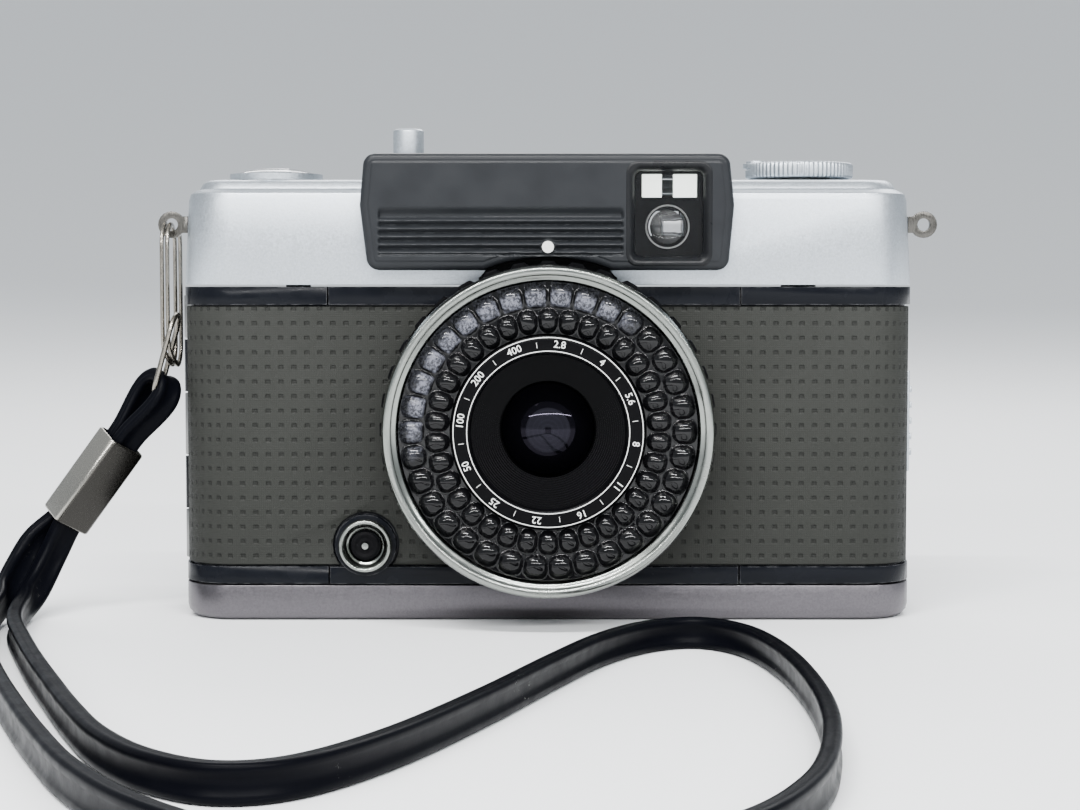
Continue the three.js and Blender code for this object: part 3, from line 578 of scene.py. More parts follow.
def smoked_acrylic():
    """The clear ring as it looks over its dark cell: glossy black, its outer domes at the upper left made
    rougher and painted pale, a painted reflection of bright light from that side.
    """
    dark = (0.003, 0.003, 0.0035)
    paint = Paint("smoked_acrylic", dark, 0.04, Transmission_Weight=0.15, IOR=1.49, Specular_IOR_Level=0.24)
    x, up, radius = paint.from_lens_axis()
    turn = paint.times(paint.math("ARCTAN2", up, x), CELL["count"] / (2 * pi))
    part = paint.math("FRACT", paint.math("ADD", turn, CELL["count"] + 0.5))
    along = paint.math("ABSOLUTE", paint.math("SUBTRACT", part, 0.5))
    inner, outer = paint.spread(radius, 18.4, 18.9, 0, 1), paint.spread(radius, 20.2, 21.0, 1, 0.15)
    dome = paint.times(paint.spread(along, 0.36, 0.43, 1, 0), inner, outer)
    # Outer domes toward the upper left are painted pale and made rougher: a painted reflection on them.
    toward = paint.math("SUBTRACT", paint.times(up, 0.87), paint.times(x, 0.5))
    speck = paint.spread(paint.noise(0.45, 5, roughness=0.7), 0.42, 0.58, 0.15, 1)
    frost_and_reflection = paint.times(paint.spread(toward, 6, 11, 0, 1), dome, speck)
    paint.color(paint.mix(frost_and_reflection, dark, (0.16, 0.165, 0.20)))
    paint.roughness(paint.spread(frost_and_reflection, 0, 1, 0.04, 0.4))
    paint.bump(paint.noise(0.6, 4), 0.02, 0.3)
    return paint.material


def selenium():
    """The cell under the clear ring: near-black violet with a frosty bloom."""
    paint = Paint("selenium_cell", (0.02, 0.018, 0.026), 0.35, 0.3, Coat_Weight=0.5, Coat_Roughness=0.1)
    bloom = paint.noise(2.6, 5)
    paint.color(paint.mix(paint.spread(bloom, 0.5, 0.75, 0, 1), (0.016, 0.015, 0.022), (0.075, 0.07, 0.095)))
    paint.roughness(paint.spread(bloom, 0.3, 0.7, 0.25, 0.5))
    paint.bump(paint.noise(0.8, 4), 0.03, 0.5)
    return paint.material


def plain_paint(name, color, roughness=0.5, grain=0.3, **sockets):
    """One plain color with a faint speckle."""
    paint = Paint(name, color, roughness, **sockets)
    speck = paint.noise(grain, 4)
    paint.color(paint.shades(speck, color, 0.82, 1.1))
    paint.bump(speck, 0.01, 0.4)
    return paint.material


def make_materials():
    """Every material, by its slot in the frame or by a name of its own."""
    return {
        "satin_metal": satin_metal(),
        "base_metal": satin_metal("base_metal", (0.125, 0.117, 0.127), 0.36),
        "chrome": chrome(),
        "steel": brushed("drawn_steel", (0.24, 0.24, 0.235), 0.32, (1, 1, 0.08)),
        "nickel": brushed("satin_nickel", (0.27, 0.25, 0.215), 0.26, (1, 1, 0.12)),
        "dull_nickel": brushed("dull_nickel", (0.10, 0.096, 0.088), 0.30, (1, 1, 0.12)),
        "clamp": clamp_nickel(),
        "brass": brushed("contact_brass", (0.55, 0.40, 0.17), 0.30, (0.1, 1, 1)),
        "black_paint": black_enamel(),
        "dark_grey": grey_enamel(),
        "matt_black": matt_black(),
        "leatherette": leatherette(),
        "clear": clear("clear_acrylic", Specular_IOR_Level=0.2),
        "objective": clear("objective_glass", ior=1.5, Specular_IOR_Level=0.35),
        "cell": selenium(),
        "coated": coated_glass(),
        "smoked": smoked_acrylic(),
        "groove_black": matt_black("groove_black", (0.0016, 0.0016, 0.002), 0.30),
        "blade_black": matt_black("blade_black", (0.006, 0.006, 0.007), 0.4),
        "vinyl": vinyl(),
        "red": plain_paint("flag_red", (0.45, 0.02, 0.01)),
        "white": plain_paint("mark_white", (0.80, 0.80, 0.78)),
        # The frosted panes glow by emission: painted light, for the daylight that shines through them from
        # behind.
        "frost": plain_paint("frosted_window_glow", (0.93, 0.97, 0.93), 0.35, 0.6,
                             Emission_Color=(0.92, 1.0, 0.90, 1), Emission_Strength=1.6),
        "lip_grey": grey_enamel("lip_grey", (0.006, 0.0065, 0.0075), 0.3),
    }


# ---------------------------------------------------------------- CAD nodes that stay


NODE_MATERIALS = {
    "bottom_cover": "base_metal", "strap_lug_left": "dull_nickel", "strap_lug_right": "dull_nickel",
    "shutter_blade_left": "blade_black", "shutter_blade_right": "blade_black",
    "shutter_plate": "blade_black", "viewfinder_objective": "objective",
}
# Widths of the eased edges in millimetres, with the nodes that have them.
EASED_NODES = {
    0.3: ("chassis", "eyepiece_frame"),
    0.25: ("bottom_cover", "back_door"),
    0.22: ("top_cover", "lens_plate"),
    0.2: ("door_catch", "strap_lug_left", "strap_lug_right", "rewind_crank", "take_up_spool"),
    0.15: ("accessory_shoe", "tripod_socket", "door_hinge_pin"),
    0.12: ("front_leather_left", "front_leather_right", "back_leather", "advance_wheel"),
    0.1: ("pressure_plate", "rewind_release_button", "sprocket", "base_screw_1", "base_screw_2",
          "rewind_shaft"),
}
EDGE_ANGLE = radians(32)


def dress_cad_nodes(materials):
    """Every CAD node gets its slot's material or the one named for it, and eased or split edges."""
    slots = {row["node"]: row["material_slot"] for row in frame["record"]["subparts"]}
    widths = {name: width for width, names in EASED_NODES.items() for name in names}
    for name, obj in NODES.items():
        obj.data.materials.clear()
        obj.data.materials.append(materials[NODE_MATERIALS.get(name, slots[name])])
        ease_edges(obj, widths.get(name, 0))


def ease_edges(obj, width):
    """Bevels the sharp edges by a width, or only splits them where the width is 0."""
    weld = obj.modifiers.new("weld", "WELD")
    weld.merge_threshold = 1e-6
    if width:
        bevel = obj.modifiers.new("bevel", "BEVEL")
        bevel.width = width * MM
        bevel.segments = 3
        bevel.limit_method = "ANGLE"
        bevel.angle_limit = EDGE_ANGLE
        bevel.harden_normals = True
    else:
        split = obj.modifiers.new("creases", "EDGE_SPLIT")
        split.split_angle = EDGE_ANGLE
    obj.data.polygons.foreach_set("use_smooth", [True] * len(obj.data.polygons))


# ---------------------------------------------------------------- lens and light cell

CELL = {"inner": 14.4, "split": 18.2, "outer": 22.1, "base": -20.35, "back": -18.6, "count": 34}
DOME = {"rise": 1.05, "margin": 0.2, "power": 2.4}
BAFFLE = {"bore": 11.35, "wide": 11.2, "narrow": 7.3, "front": -20.2, "deep": -14.6, "back": -14.2,
          "steps": 13}
BEZEL = [(23.7, -15.8), (24.5, -15.8), (24.5, -21.5), (24.1, BEZEL_FRONT), (23.3, BEZEL_FRONT),
         (22.9, -22.0), (22.3, -21.7), (22.3, -17.1), (23.7, -17.1)]
NAME_RING = [(11.35, -20.2), (11.6, -21.3), (12.1, -21.6), (13.7, -21.6), (14.25, -21.3), (14.3, -17.2),
             (11.35, -17.2)]
GLASS = {"radius": 7.05, "front": -17.0, "curve": 9.0, "rim": -13.3, "back": -13.2, "core": 0.3}
GRIP = {"outer": 25.2, "bore": 23.9, "back": -9.0, "front": -15.5, "ease": 0.25}
FLUTES = {"count": 36, "half_width": 0.28, "depth": 0.7}
LENS_PLACE = along_y((0, LENS_Z))


def dome_height(angle, radius):
    """The clear ring's two rows of moulded lens domes, the outer row half a dome on."""
    outer = radius > CELL["split"]
    low, high = (CELL["split"], CELL["outer"]) if outer else (CELL["inner"], CELL["split"])
    if outer:
        high -= DOME["margin"]
    else:
        low += DOME["margin"]
    part = angle * CELL["count"] / (2 * pi) + (0.5 if outer else 0)
    along = 2 * (part - floor(part)) - 1
    across = 2 * (radius - low) / (high - low) - 1
    return DOME["rise"] * max(0.0, 1 - abs(along) ** DOME["power"] - abs(across) ** DOME["power"])


def cell_cover_mesh():
    """A closed ring with the domes on its front."""
    turn = angles(CELL["count"] * 22)
    rows = 64
    points = []
    for row in range(rows + 1):
        radius = CELL["inner"] + (CELL["outer"] - CELL["inner"]) * row / rows
        points += [LENS_PLACE(radius * cos(a), radius * sin(a), CELL["base"] - dome_height(a, radius))
                   for a in turn]
    back = [(CELL["outer"], CELL["back"]), (CELL["inner"], CELL["back"])]
    points += turned_points(back, len(turn), LENS_PLACE)
    return mesh_of("honeycomb_cover", points, loop_faces(rows + 3, len(turn), True), 180)


def baffle_profile():
    """The conical baffle's fine steps, from the name ring down to the front element."""
    front, wide, narrow = BAFFLE["front"], BAFFLE["wide"], BAFFLE["narrow"]
    profile = [(BAFFLE["bore"], front), (wide, front)]
    parts = [i / BAFFLE["steps"] for i in range(BAFFLE["steps"] + 1)]
    for before, after in zip(parts, parts[1:]):
        depth = front + (BAFFLE["deep"] - front) * after
        profile += [(wide + (narrow - wide) * before, depth), (wide + (narrow - wide) * after, depth)]
    return profile + [(narrow, BAFFLE["back"]), (BAFFLE["bore"], BAFFLE["back"])]


def glass_profile():
    """The front element: a spherical cap with a flat back."""
    curve, front, core = GLASS["curve"], GLASS["front"], GLASS["core"]
    reach = asin(GLASS["radius"] / curve)
    cap = [(curve * sin(a), front + curve * (1 - cos(a))) for a in (reach * i / 14 for i in range(1, 15))]
    return [(core, front), *cap, (GLASS["radius"], GLASS["rim"]), (core, GLASS["back"])]


def make_lens(materials):
    black = materials["groove_black"]
    turned_piece("front_bezel_turned", eased(BEZEL, 0.22, 4, True), LENS_PLACE, materials["chrome"],
                 "front_bezel", slot="chrome", segments=192)
    new_object("honeycomb_cover", cell_cover_mesh(), materials["smoked"], "body", "cell_cover", slot="clear")
    turned_piece("name_ring_turned", eased(NAME_RING, closed=True), LENS_PLACE, black, "name_ring",
                 slot="black_paint", segments=160)
    turned_piece("baffle_grooved", baffle_profile(), LENS_PLACE, black, "lens_baffle", slot="matt_black",
                 segments=128, crease=20)
    turned_piece("front_element_polished", glass_profile(), LENS_PLACE, materials["coated"],
                 "front_element", slot="clear", closed=False, segments=96, crease=50)
    make_scalloped_ring(black)
    make_ring_marks(materials["white"])


def make_scalloped_ring(material):
    """The aperture ring: a knurled rim of flat lands and round flutes."""
    turn = angles(360)
    radii = []
    for i in range(len(turn)):
        part = (i * FLUTES["count"] / len(turn)) % 1 - 0.5
        flute = FLUTES["depth"] * sqrt(max(0, 1 - (part / FLUTES["half_width"]) ** 2))
        radii.append(GRIP["outer"] - flute)
    back, front, ease = GRIP["back"], GRIP["front"], GRIP["ease"]
    points = []
    for y, inset in ((back, ease), (back - ease, 0), (front + ease, 0), (front, ease)):
        points += [LENS_PLACE((r - inset) * cos(a), (r - inset) * sin(a), y) for r, a in zip(radii, turn)]
    points += turned_points([(GRIP["bore"], front), (GRIP["bore"], back)], len(turn), LENS_PLACE)
    mesh = mesh_of("fluted_ring", points, loop_faces(6, len(turn), True), 40)
    new_object("aperture_ring_fluted", mesh, material, "aperture_ring", "aperture_ring", slot="black_paint")


def text_mesh(body, size):
    """Flat raised lettering, centred on the origin of its own plane, in millimetres."""
    curve = bpy.data.curves.new("lettering", "FONT")
    curve.body = body
    curve.size = size
    curve.extrude = 0.02
    curve.align_x = "CENTER"
    curve.align_y = "CENTER"
    curve.resolution_u = 3
    holder = bpy.data.objects.new("lettering", curve)
    bpy.context.collection.objects.link(holder)
    bpy.context.view_layer.update()
    mesh = bpy.data.meshes.new_from_object(holder)
    bpy.data.objects.remove(holder)
    bpy.data.curves.remove(curve)
    return mesh


def facing_front(centre, turn):
    """Puts a mesh drawn in XY upright facing -Y, turned about the lens axis."""
    return (Matrix.Translation(Vector(centre) * MM) @ Matrix.Rotation(turn, 4, "Y")
            @ Matrix.Rotation(pi / 2, 4, "X") @ Matrix.Scale(MM, 4))


RING_NUMERALS = ["2.8", "4", "5.6", "8", "11", "16", "22", "25", "50", "100", "200", "400"]
RING_MARKS = {"face": -21.62, "depth": 0.06, "circles": (11.95, 13.95), "half_line": 0.055, "middle": 12.95,
              "numeral": 1.5, "tick": 0.9}


def make_ring_marks(material):
    """Generic numerals and index ticks in white, and the two thin white circles of the name ring."""
    face, middle = RING_MARKS["face"], RING_MARKS["middle"]
    meshes = []
    for radius in RING_MARKS["circles"]:
        low, high = radius - RING_MARKS["half_line"], radius + RING_MARKS["half_line"]
        under = face + RING_MARKS["depth"]
        line = [(low, face), (high, face), (high, under), (low, under)]
        meshes.append(turned("line", line, LENS_PLACE, True))
    for i, numeral in enumerate(RING_NUMERALS):
        for offset, body, size in ((0.25, numeral, RING_MARKS["numeral"]), (0.75, "|", RING_MARKS["tick"])):
            turn = 2 * pi * (i + offset) / len(RING_NUMERALS)
            mesh = text_mesh(body, size)
            centre = (middle * sin(turn), face, LENS_Z + middle * cos(turn))
            mesh.transform(facing_front(centre, turn))
            meshes.append(mesh)
    new_object("ring_marks", merged("ring_marks", meshes), material, "body", slot="white")


# ---------------------------------------------------------------- finder, socket and top controls


SHROUD = {"low": 53.8, "middle": 63.6, "high": 71.4, "front": -11.65, "back": -8.3, "corner": 1.7,
          "roll": 1.0}
SHROUD_LEFT = {"low": -27.2, "middle": -28.4, "high": -27.7}
SHROUD_RIGHT = {"low": 27.2, "middle": 28.1, "high": 27.3}
NOTCH_RADIUS = 25.7
RIBS = {"left": -25.7, "right": 11.5, "low": 55.9, "high": 62.0, "pitch": 1.2, "depth": 0.75, "scoop": 1.5}
FACE_STEP = 0.14
DOT_SEAT = 0.32
WINDOW = {"x": 18.25, "z": 62.3, "half_w": 6.1, "half_h": 7.4, "corner": 1.5, "cut": 0.15}
WINDOW_LIP = [(-0.45, 0.06), (-0.3, -0.08), (0.0, -0.12), (0.25, 0.0), (0.75, 0.55), (0.95, 1.1), (1.0, 1.7)]


def side_of(sides, z):
    """The escutcheon's edge at a height: straight runs that meet at the widest point."""
    ends = ("low", "middle") if z < SHROUD["middle"] else ("middle", "high")
    part = (z - SHROUD[ends[0]]) / (SHROUD[ends[1]] - SHROUD[ends[0]])
    return sides[ends[0]] + (sides[ends[1]] - sides[ends[0]]) * part


def notch_z(x):
    """The bottom edge, cut round where the lens ring stands in front of it."""
    return max(SHROUD["low"], LENS_Z + sqrt(max(0, NOTCH_RADIUS**2 - x * x)))


def corner_inset(z):
    """How far the rounded corners pull the sides in at a height."""
    near = SHROUD["corner"] - min(z - SHROUD["low"], SHROUD["high"] - z, SHROUD["corner"])
    return SHROUD["corner"] - sqrt(SHROUD["corner"] ** 2 - near**2)


def edge_roll(x, z):
    """How far the face falls back near its rounded edge."""
    across = min(x - side_of(SHROUD_LEFT, z), side_of(SHROUD_RIGHT, z) - x)
    along = min(z - notch_z(x), SHROUD["high"] - z)
    corner = SHROUD["corner"]
    near = min(across, along)
    if across < corner and along < corner:
        near = corner - hypot(corner - across, corner - along)
    part = 1 - min(max(near, 0) / SHROUD["roll"], 1)
    step = FACE_STEP * (1 - smoothstep(near, 1.25, 1.45))
    return step + SHROUD["roll"] * 0.85 * (1 - sqrt(max(0, 1 - part * part)))


def rib_relief(x, z):
    """The scooped panel of ribs below the blank name plate, with a flat seat round the white dot."""
    ends = smoothstep(min(x - RIBS["left"], RIBS["right"] - x), 0, 0.5)
    up = smoothstep(z - RIBS["low"], 0, 0.35)
    scoop = 1 - smoothstep(z, RIBS["high"], RIBS["high"] + RIBS["scoop"])
    wave = 0.5 + 0.5 * cos(2 * pi * (z - RIBS["low"] - 0.55) / RIBS["pitch"])
    rib = wave**0.8 if z < RIBS["high"] - 0.2 else 0.0
    seat = smoothstep(hypot(x, z - DOT_Z), 1.05, 1.35)
    return RIBS["depth"] * ends * up * scoop * (1 - 0.92 * rib) * seat + DOT_SEAT * (1 - seat)


def in_window(x, z):
    """Whether a point is inside the finder's rounded opening, cut a little smaller than its lip."""
    corner = WINDOW["corner"]
    over_x = abs(x - WINDOW["x"]) - (WINDOW["half_w"] - WINDOW["cut"] - corner)
    over_z = abs(z - WINDOW["z"]) - (WINDOW["half_h"] - WINDOW["cut"] - corner)
    if over_x > 0 and over_z > 0:
        return hypot(over_x, over_z) < corner
    return max(over_x, over_z) < corner


def shroud_mesh():
    """The escutcheon's moulded face with the finder's opening in it, and its edge wall, open behind."""
    columns, rows = 400, 132
    points, inside = [], []
    height = SHROUD["high"] - SHROUD["low"]
    for row in range(rows + 1):
        level = SHROUD["low"] + height * row / rows
        left = side_of(SHROUD_LEFT, level) + corner_inset(level)
        right = side_of(SHROUD_RIGHT, level) - corner_inset(level)
        for column in range(columns + 1):
            x = left + (right - left) * column / columns
            low = notch_z(x)
            z = low + (SHROUD["high"] - low) * row / rows
            points.append((x, SHROUD["front"] + edge_roll(x, z) + rib_relief(x, z), z))
            inside.append(in_window(x, z))
    width = columns + 1
    faces = []
    for row in range(rows):
        for column in range(columns):
            a = row * width + column
            quad = (a, a + 1, a + 1 + width, a + width)
            if not all(inside[i] for i in quad):
                faces.append(quad)
    top = rows * width
    border = list(range(width)) + [row * width + columns for row in range(1, rows + 1)]
    border += [top + column for column in reversed(range(columns))]
    border += [row * width for row in reversed(range(1, rows))]
    start = len(points)
    points += [(points[i][0], SHROUD["back"], points[i][2]) for i in border]
    count = len(border)
    for i in range(count):
        j = (i + 1) % count
        faces.append((border[i], border[j], start + j, start + i))
    return mesh_of("shroud", points, faces, 50)


def window_ring(section, place_y):
    """A ring round the finder's opening from (inset, depth) pairs."""
    points = []
    for inset, depth in section:
        corner = WINDOW["corner"] - inset * 0.5
        shape = rounded_rect(WINDOW["half_w"] - inset, WINDOW["half_h"] - inset, corner, 8)
        points.extend((WINDOW["x"] + a, place_y + depth, WINDOW["z"] + b) for a, b in shape)
    return mesh_of("window_lip", points, loop_faces(len(section), len(points) // len(section)), 60)


def slab(name, box, material, slot):
    """A plain block from its extents along x, y and z, with eased edges."""
    x, y, z = box
    points = [(a, b, c) for c in z for b in y for a in x]
    faces = [(0, 1, 3, 2), (4, 5, 7, 6), (0, 1, 5, 4), (2, 3, 7, 6), (0, 2, 6, 4), (1, 3, 7, 5)]
    ease_edges(new_object(name, mesh_of(name, points, faces), material, "body", slot=slot), 0.1)


ROOF = {"ends": (-26.0, 25.6), "section": [(-8.6, 67.9), (-8.6, 71.1), (-7.0, 70.7), (-3.0, 67.9)]}
PANES = [((14.2, 17.2), (-9.75, -9.45), (64.8, 68.3)), ((18.9, 22.5), (-9.75, -9.45), (64.8, 68.3))]
SILL = ((15.0, 21.4), (-2.2, -1.8), (56.8, 59.2))
OBJECTIVE_RIM = [(3.1, -9.6), (3.35, -9.6), (3.35, -9.3), (3.1, -9.3)]
# A dark flange that stands in for the shade in the gap under the escutcheon.
SHADE_FLANGE = {"inner": 24.5, "outer": 26.2, "front": -8.9, "back": -8.35, "half_angle": 25, "taper": 0.7}


def make_shade_flange(material):
    """A thin black flange below the escutcheon, behind the aperture ring: painted shade, a dark sheet that
    hides the silver cover in the gap there.
    """
    points = []
    steps = 48
    inner, front, back = SHADE_FLANGE["inner"], SHADE_FLANGE["front"], SHADE_FLANGE["back"]
    for i in range(steps + 1):
        part = 2 * i / steps - 1
        angle = radians(90 + SHADE_FLANGE["half_angle"] * part)
        outer = SHADE_FLANGE["outer"] - (SHADE_FLANGE["outer"] - inner) * SHADE_FLANGE["taper"] * smoothstep(abs(part), 0.75, 1)
        for radius, y in ((inner, front), (outer, front), (outer, back), (inner, back)):
            points.append(LENS_PLACE(radius * cos(angle), radius * sin(angle), y))
    faces = loop_faces(steps + 1, 4) + end_caps(steps + 1, 4)
    new_object("escutcheon_shade_flange", mesh_of("skirt", points, faces), material, "body", slot="matt_black")


def make_finder(materials):
    grey = materials["dark_grey"]
    new_object("escutcheon_face", shroud_mesh(), grey, "body", "viewfinder_shroud", slot="dark_grey")
    new_object("window_lip", window_ring(WINDOW_LIP, SHROUD["front"]), materials["lip_grey"],
               "body", "viewfinder_frame", slot="black_paint")
    points = [(x, y, z) for x in ROOF["ends"] for y, z in ROOF["section"]]
    mesh = mesh_of("roof", points, loop_faces(2, 4) + end_caps(2, 4))
    ease_edges(new_object("escutcheon_roof", mesh, grey, "body", slot="dark_grey"), 0.3)
    for i, pane in enumerate(PANES):
        slab(f"bright_frame_pane_{i}", pane, materials["frost"], "clear")
    slab("finder_sill", SILL, materials["groove_black"], "matt_black")
    turned_piece("objective_rim", eased(OBJECTIVE_RIM, 0.06, 2, True), along_y((OBJECTIVE.x, OBJECTIVE.z)),
                 materials["steel"], slot="steel")


SOCKET_SHELL = [(2.3, -8.9), (4.0, -8.9), (4.1, -9.9), (3.9, -10.35), (3.55, -10.4), (3.3, -10.1),
                (2.9, -9.5), (2.4, -9.2)]
SOCKET_CUP = [(0.65, -8.9), (2.15, -8.9), (2.15, -9.6), (1.7, -9.75), (1.2, -9.5), (0.65, -9.6)]


def make_socket(materials):
    place = along_y((SOCKET.x, SOCKET.z))
    turned_piece("sync_socket_turned", eased(SOCKET_SHELL, 0.15, 3, True), place, materials["chrome"],
                 "sync_socket", slot="chrome", segments=96)
    turned_piece("sync_insulator_turned", eased(SOCKET_CUP, 0.08, 2, True), place, materials["matt_black"],
                 "sync_insulator", slot="matt_black")


BUTTON = [(0.05, 58), (1.1, 58), (1.1, 69.6), (2.4, 69.6), (2.4, 75.5), (2.05, 75.8), (1.5, 75.65),
          (0.05, 75.6)]
DIAL_WINDOW = {"radius": 6.1, "foot": 68.1, "spring": 68.65, "rise": 1.25}
COUNTER_MARKS = {"count": 12, "step": 6, "radius": 4.6, "height": 67.53, "size": 1.3}


def make_top_controls(materials):
    turned_piece("release_button_turned", eased(BUTTON, 0.14, 3), along_z((RELEASE.x, RELEASE.y)),
                 materials["satin_metal"], "release_button", slot="chrome", body="release_button",
                 closed=False)
    radius, foot, spring, rise = DIAL_WINDOW.values()
    dome = [(radius * cos(a), spring + rise * sin(a)) for a in (radians(7.5 * i) for i in range(1, 12))]
    window = [(0.05, foot), (radius, foot), (radius, spring), *dome, (0.05, spring + rise)]
    turned_piece("counter_window_dome", window, along_z((COUNTER.x, COUNTER.y)), materials["clear"],
                 "counter_window", slot="clear", closed=False, segments=96, crease=50)
    make_counter_marks(materials["white"])
    make_knob(materials["satin_metal"], materials["steel"])


def make_counter_marks(material):
    """Frame numbers round the counter's dial."""
    count, step, radius, height, size = COUNTER_MARKS.values()
    meshes = []
    for i in range(count):
        turn = 2 * pi * i / count
        mesh = text_mesh(str(i * step), size)
        centre = Vector((COUNTER.x + radius * sin(turn), COUNTER.y - radius * cos(turn), height)) * MM
        mesh.transform(Matrix.Translation(centre) @ Matrix.Rotation(turn, 4, "Z") @ Matrix.Scale(MM, 4))
        meshes.append(mesh)
    new_object("counter_marks", merged("counter_marks", meshes), material, "counter_dial", slot="white")


KNOB_RIM = [(7.9, 68.3, 0), (8.4, 68.5, 1), (8.5, 68.8, 1), (8.5, 70.3, 1), (8.4, 70.6, 1), (8.1, 70.8, 0),
            (7.4, 70.8, 0), (7.3, 70.7, 0), (7.3, 69.75, 0), (7.2, 69.7, 0)]
KNOB_TEETH = {"count": 72, "depth": 0.16}
KNOB_NOTCH = {"half_width": 2.35, "floor": 69.7}
KNOB_SLEEVE = [(2.95, 60.0), (3.25, 60.0), (3.25, 68.4), (2.95, 68.4)]


def make_knob(material, sleeve_material):
    """The rewind knob: a milled rim with a notch where the crank folds, and a sleeve round its shaft."""
    segments = 576
    points = []
    for radius, z, milled in KNOB_RIM:
        for angle in angles(segments):
            tooth = 0.5 + 0.5 * cos(KNOB_TEETH["count"] * angle)
            across = radius - KNOB_TEETH["depth"] * milled * tooth
            x, y = across * cos(angle), across * sin(angle)
            notched = x < 0 and abs(y) < KNOB_NOTCH["half_width"]
            points.append((REWIND.x + x, REWIND.y + y, min(z, KNOB_NOTCH["floor"]) if notched else z))
    faces = loop_faces(len(KNOB_RIM), segments) + end_caps(len(KNOB_RIM), segments)
    mesh = mesh_of("milled_knob", points, faces, 50)
    new_object("rewind_knob_milled", mesh, material, "rewind_knob", "rewind_knob", slot="satin_metal")
    turned_piece("rewind_knob_sleeve", KNOB_SLEEVE, along_z((REWIND.x, REWIND.y)), sleeve_material,
                 slot="steel", body="rewind_knob")


# ---------------------------------------------------------------- strap head

RING = {"length": 21.9, "width": 7.0, "turns": 2, "steps": 96, "start": 0.6, "gap": 0.85,
        "wire": (0.30, 0.42), "crossing": (0.42, 0.16)}
LINK = {"width": 6.4, "wire": 0.42, "steps": 96, "sides": 12}
CLAMP_SHAPE = {"half_x": 2.9, "half_y": 3.3, "corner": 0.9, "wall": 0.45, "half_length": 7.7}


def oval_point(angle, length, width):
    """A place on an oval of two half circles joined by straight sides."""
    place = Vector((width / 2 * cos(angle), width / 2 * sin(angle)))
    place.y += (length - width) / 2 * max(-1.0, min(1.0, 6 * sin(angle)))
    return place


def make_split_ring(material):
    """Two turns of wire beside each other, hung from the left lug."""
    centre = middle("split_ring")
    begin, span = RING["crossing"]
    path = []
    for i in range(RING["steps"] * RING["turns"] + 1):
        turn = i / RING["steps"]
        flat = oval_point(2 * pi * turn + RING["start"], RING["length"], RING["width"])
        side = RING["gap"] * (min(max((turn % 1 - begin) / span, 0), 1) + floor(turn) - 1)
        path.append(Vector((centre.x + side, centre.y + flat.x, centre.z + flat.y)))
    across = Vector((1, 0, 0))
    frames = []
    for tangent in tangents(path):
        side = (across - tangent * across.dot(tangent)).normalized()
        frames.append((side, side.cross(tangent)))
    mesh = swept("ring_wire", path, rounded_rect(*RING["wire"], 0.26, 3), frames)
    return new_object("split_ring_wire", mesh, material, "body", "split_ring", slot="nickel")


def make_link(material):
    """The wire link between the split ring and the strap's eye."""
    low, high = box_mm("strap_link")
    wire = LINK["wire"]
    top = Vector((high.x - wire, (low.y + high.y) / 2, high.z - wire))
    foot = Vector((low.x + wire, top.y, low.z + wire))
    along = (top - foot).normalized()
    path = []
    for angle in angles(LINK["steps"]):
        flat = oval_point(angle, (top - foot).length, LINK["width"])
        path.append((top + foot) / 2 + Vector((0, flat.x, 0)) + along * flat.y)
    normal = along.cross(Vector((0, 1, 0)))
    ahead = path[1:] + path[:1]
    frames = [(normal, normal.cross((ahead[i] - path[i - 1]).normalized())) for i in range(len(path))]
    section = [(wire * cos(a), wire * sin(a)) for a in angles(LINK["sides"])]
    mesh = swept("link_wire", path, section, frames, True)
    return new_object("strap_link_wire", mesh, material, "body", "strap_link", slot="nickel")


def make_top_loop(material):
    """The strap's end folded round the link: up through the clamp, over, and back down."""
    leg, foot, neck, eye, radius = HEAD.values()
    flat = [(-leg, foot + (neck - foot) * i / 8) for i in range(9)]
    flat += [(-leg - (radius - leg) * smoothstep(i / 8, 0, 1), neck + (eye - neck) * i / 8)
             for i in range(1, 8)]
    up = list(flat)
    flat += [(-radius * cos(a), eye + radius * sin(a)) for a in (radians(10 * i) for i in range(19))]
    flat += [(-x, z) for x, z in reversed(up)]
    path = [CLAMP + HEAD_FRAME @ Vector((x, 0, z)) for x, z in flat]
    width = HEAD_FRAME @ Vector((0, 1, 0))
    frames = [(width.cross(t).normalized(), width) for t in tangents(path)]
    mesh = swept("top_loop", path, strap_section(), frames)
    return new_object("strap_top_fold", mesh, material, "body", "strap_top_loop", slot="vinyl")


def make_clamp(material):
    """The folded metal sleeve that holds both strands, its edges turned in at both mouths."""
    half, wall = CLAMP_SHAPE["half_length"], CLAMP_SHAPE["wall"]
    mouth = [(wall, 0.3 - half), (wall * 0.5, -half), (0.12, 0.05 - half), (0.0, 0.3 - half)]
    stations = mouth + [(inset, -along) for inset, along in reversed(mouth)]
    points = []
    for inset, along in stations:
        ring = rounded_rect(CLAMP_SHAPE["half_x"] - inset, CLAMP_SHAPE["half_y"] - inset,
                            CLAMP_SHAPE["corner"] - inset * 0.6, 6)
        points.extend(CLAMP + HEAD_FRAME @ Vector((a, b, along)) for a, b in ring)
    mesh = mesh_of("clamp_sleeve", points, loop_faces(len(stations), len(points) // len(stations), True), 50)
    return new_object("strap_clamp_sleeve", mesh, material, "body", "strap_clamp", slot="nickel")


# ---------------------------------------------------------------- stage and light

FLOOR_COLOR = (0.86, 0.87, 0.88)
FLOOR_FLAT = 500.0
FLOOR_BEND = 4000.0


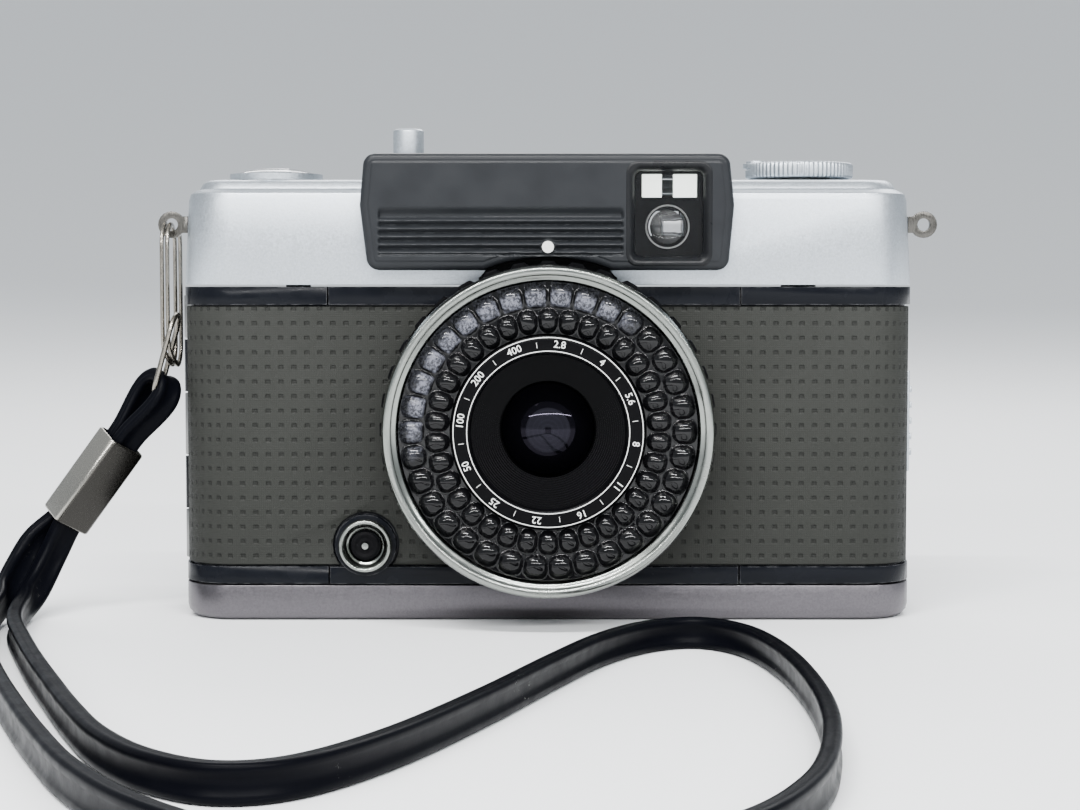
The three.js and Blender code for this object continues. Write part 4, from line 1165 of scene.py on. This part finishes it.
def make_stage():
    """A pale round floor whose rim curves up, so that no horizon shows behind the camera."""
    paint = Paint("pale_floor", FLOOR_COLOR, 0.8, Specular_IOR_Level=0.2)
    paint.bump(paint.noise(1.2, 3), 0.05, 0.3)
    bends = [radians(1.5 * i) for i in range(31)]
    profile = [(1.0, 0.0), (400.0, 0.0)]
    profile += [(FLOOR_FLAT + FLOOR_BEND * sin(a), FLOOR_BEND * (1 - cos(a))) for a in bends]
    segments = 128
    points = turned_points(profile, segments, along_z((0, 0)))
    mesh = mesh_of("floor", points, loop_faces(len(profile), segments) + [tuple(range(segments))], 60)
    mesh.materials.append(paint.material)
    ground = bpy.data.objects.new("floor", mesh)
    bpy.context.collection.objects.link(ground)


WORLD_STRENGTH = 0.76
LIGHT_TARGET = Vector((0, 0, 0.03))
# Each light's place and size in metres, its watts and its color.
LIGHTS = {
    "key": ((-0.35, -0.30, 0.75), (0.5, 0.4), 2.5, (1, 0.99, 0.97)),
    "rim": ((0.1, 0.55, 0.55), (0.8, 0.3), 6.0, (1, 1, 1)),
    "tube_high": ((-0.05, -0.42, 0.62), (0.60, 0.016), 8.5, (1, 1, 1)),
    "tube_low": ((0.05, -0.62, 0.36), (1.20, 0.016), 8.5, (1, 1, 1)),
}


def area_light(name, place, size, watts, color):
    data = bpy.data.lights.new(name, "AREA")
    data.shape = "RECTANGLE"
    data.size, data.size_y = size
    data.energy = watts
    data.color = color
    light = bpy.data.objects.new(name, data)
    light.location = place
    light.rotation_euler = (LIGHT_TARGET - Vector(place)).to_track_quat("-Z", "Y").to_euler()
    bpy.context.collection.objects.link(light)


def make_light():
    world = bpy.data.worlds.new("studio")
    bpy.context.scene.world = world
    world.use_nodes = True
    background = world.node_tree.nodes["Background"]
    background.inputs["Color"].default_value = (0.90, 0.95, 1.0, 1)
    background.inputs["Strength"].default_value = WORLD_STRENGTH
    for name, settings in LIGHTS.items():
        area_light(name, *settings)


# ---------------------------------------------------------------- everything, in order

make_camera()
MATERIALS = make_materials()
make_strap(MATERIALS["vinyl"], [
    make_clamp(MATERIALS["clamp"]), make_top_loop(MATERIALS["vinyl"]), make_link(MATERIALS["nickel"]),
    make_split_ring(MATERIALS["nickel"])])
dress_cad_nodes(MATERIALS)
make_lens(MATERIALS)
make_finder(MATERIALS)
make_shade_flange(MATERIALS["groove_black"])
make_socket(MATERIALS)
make_top_controls(MATERIALS)
make_stage()
make_light()
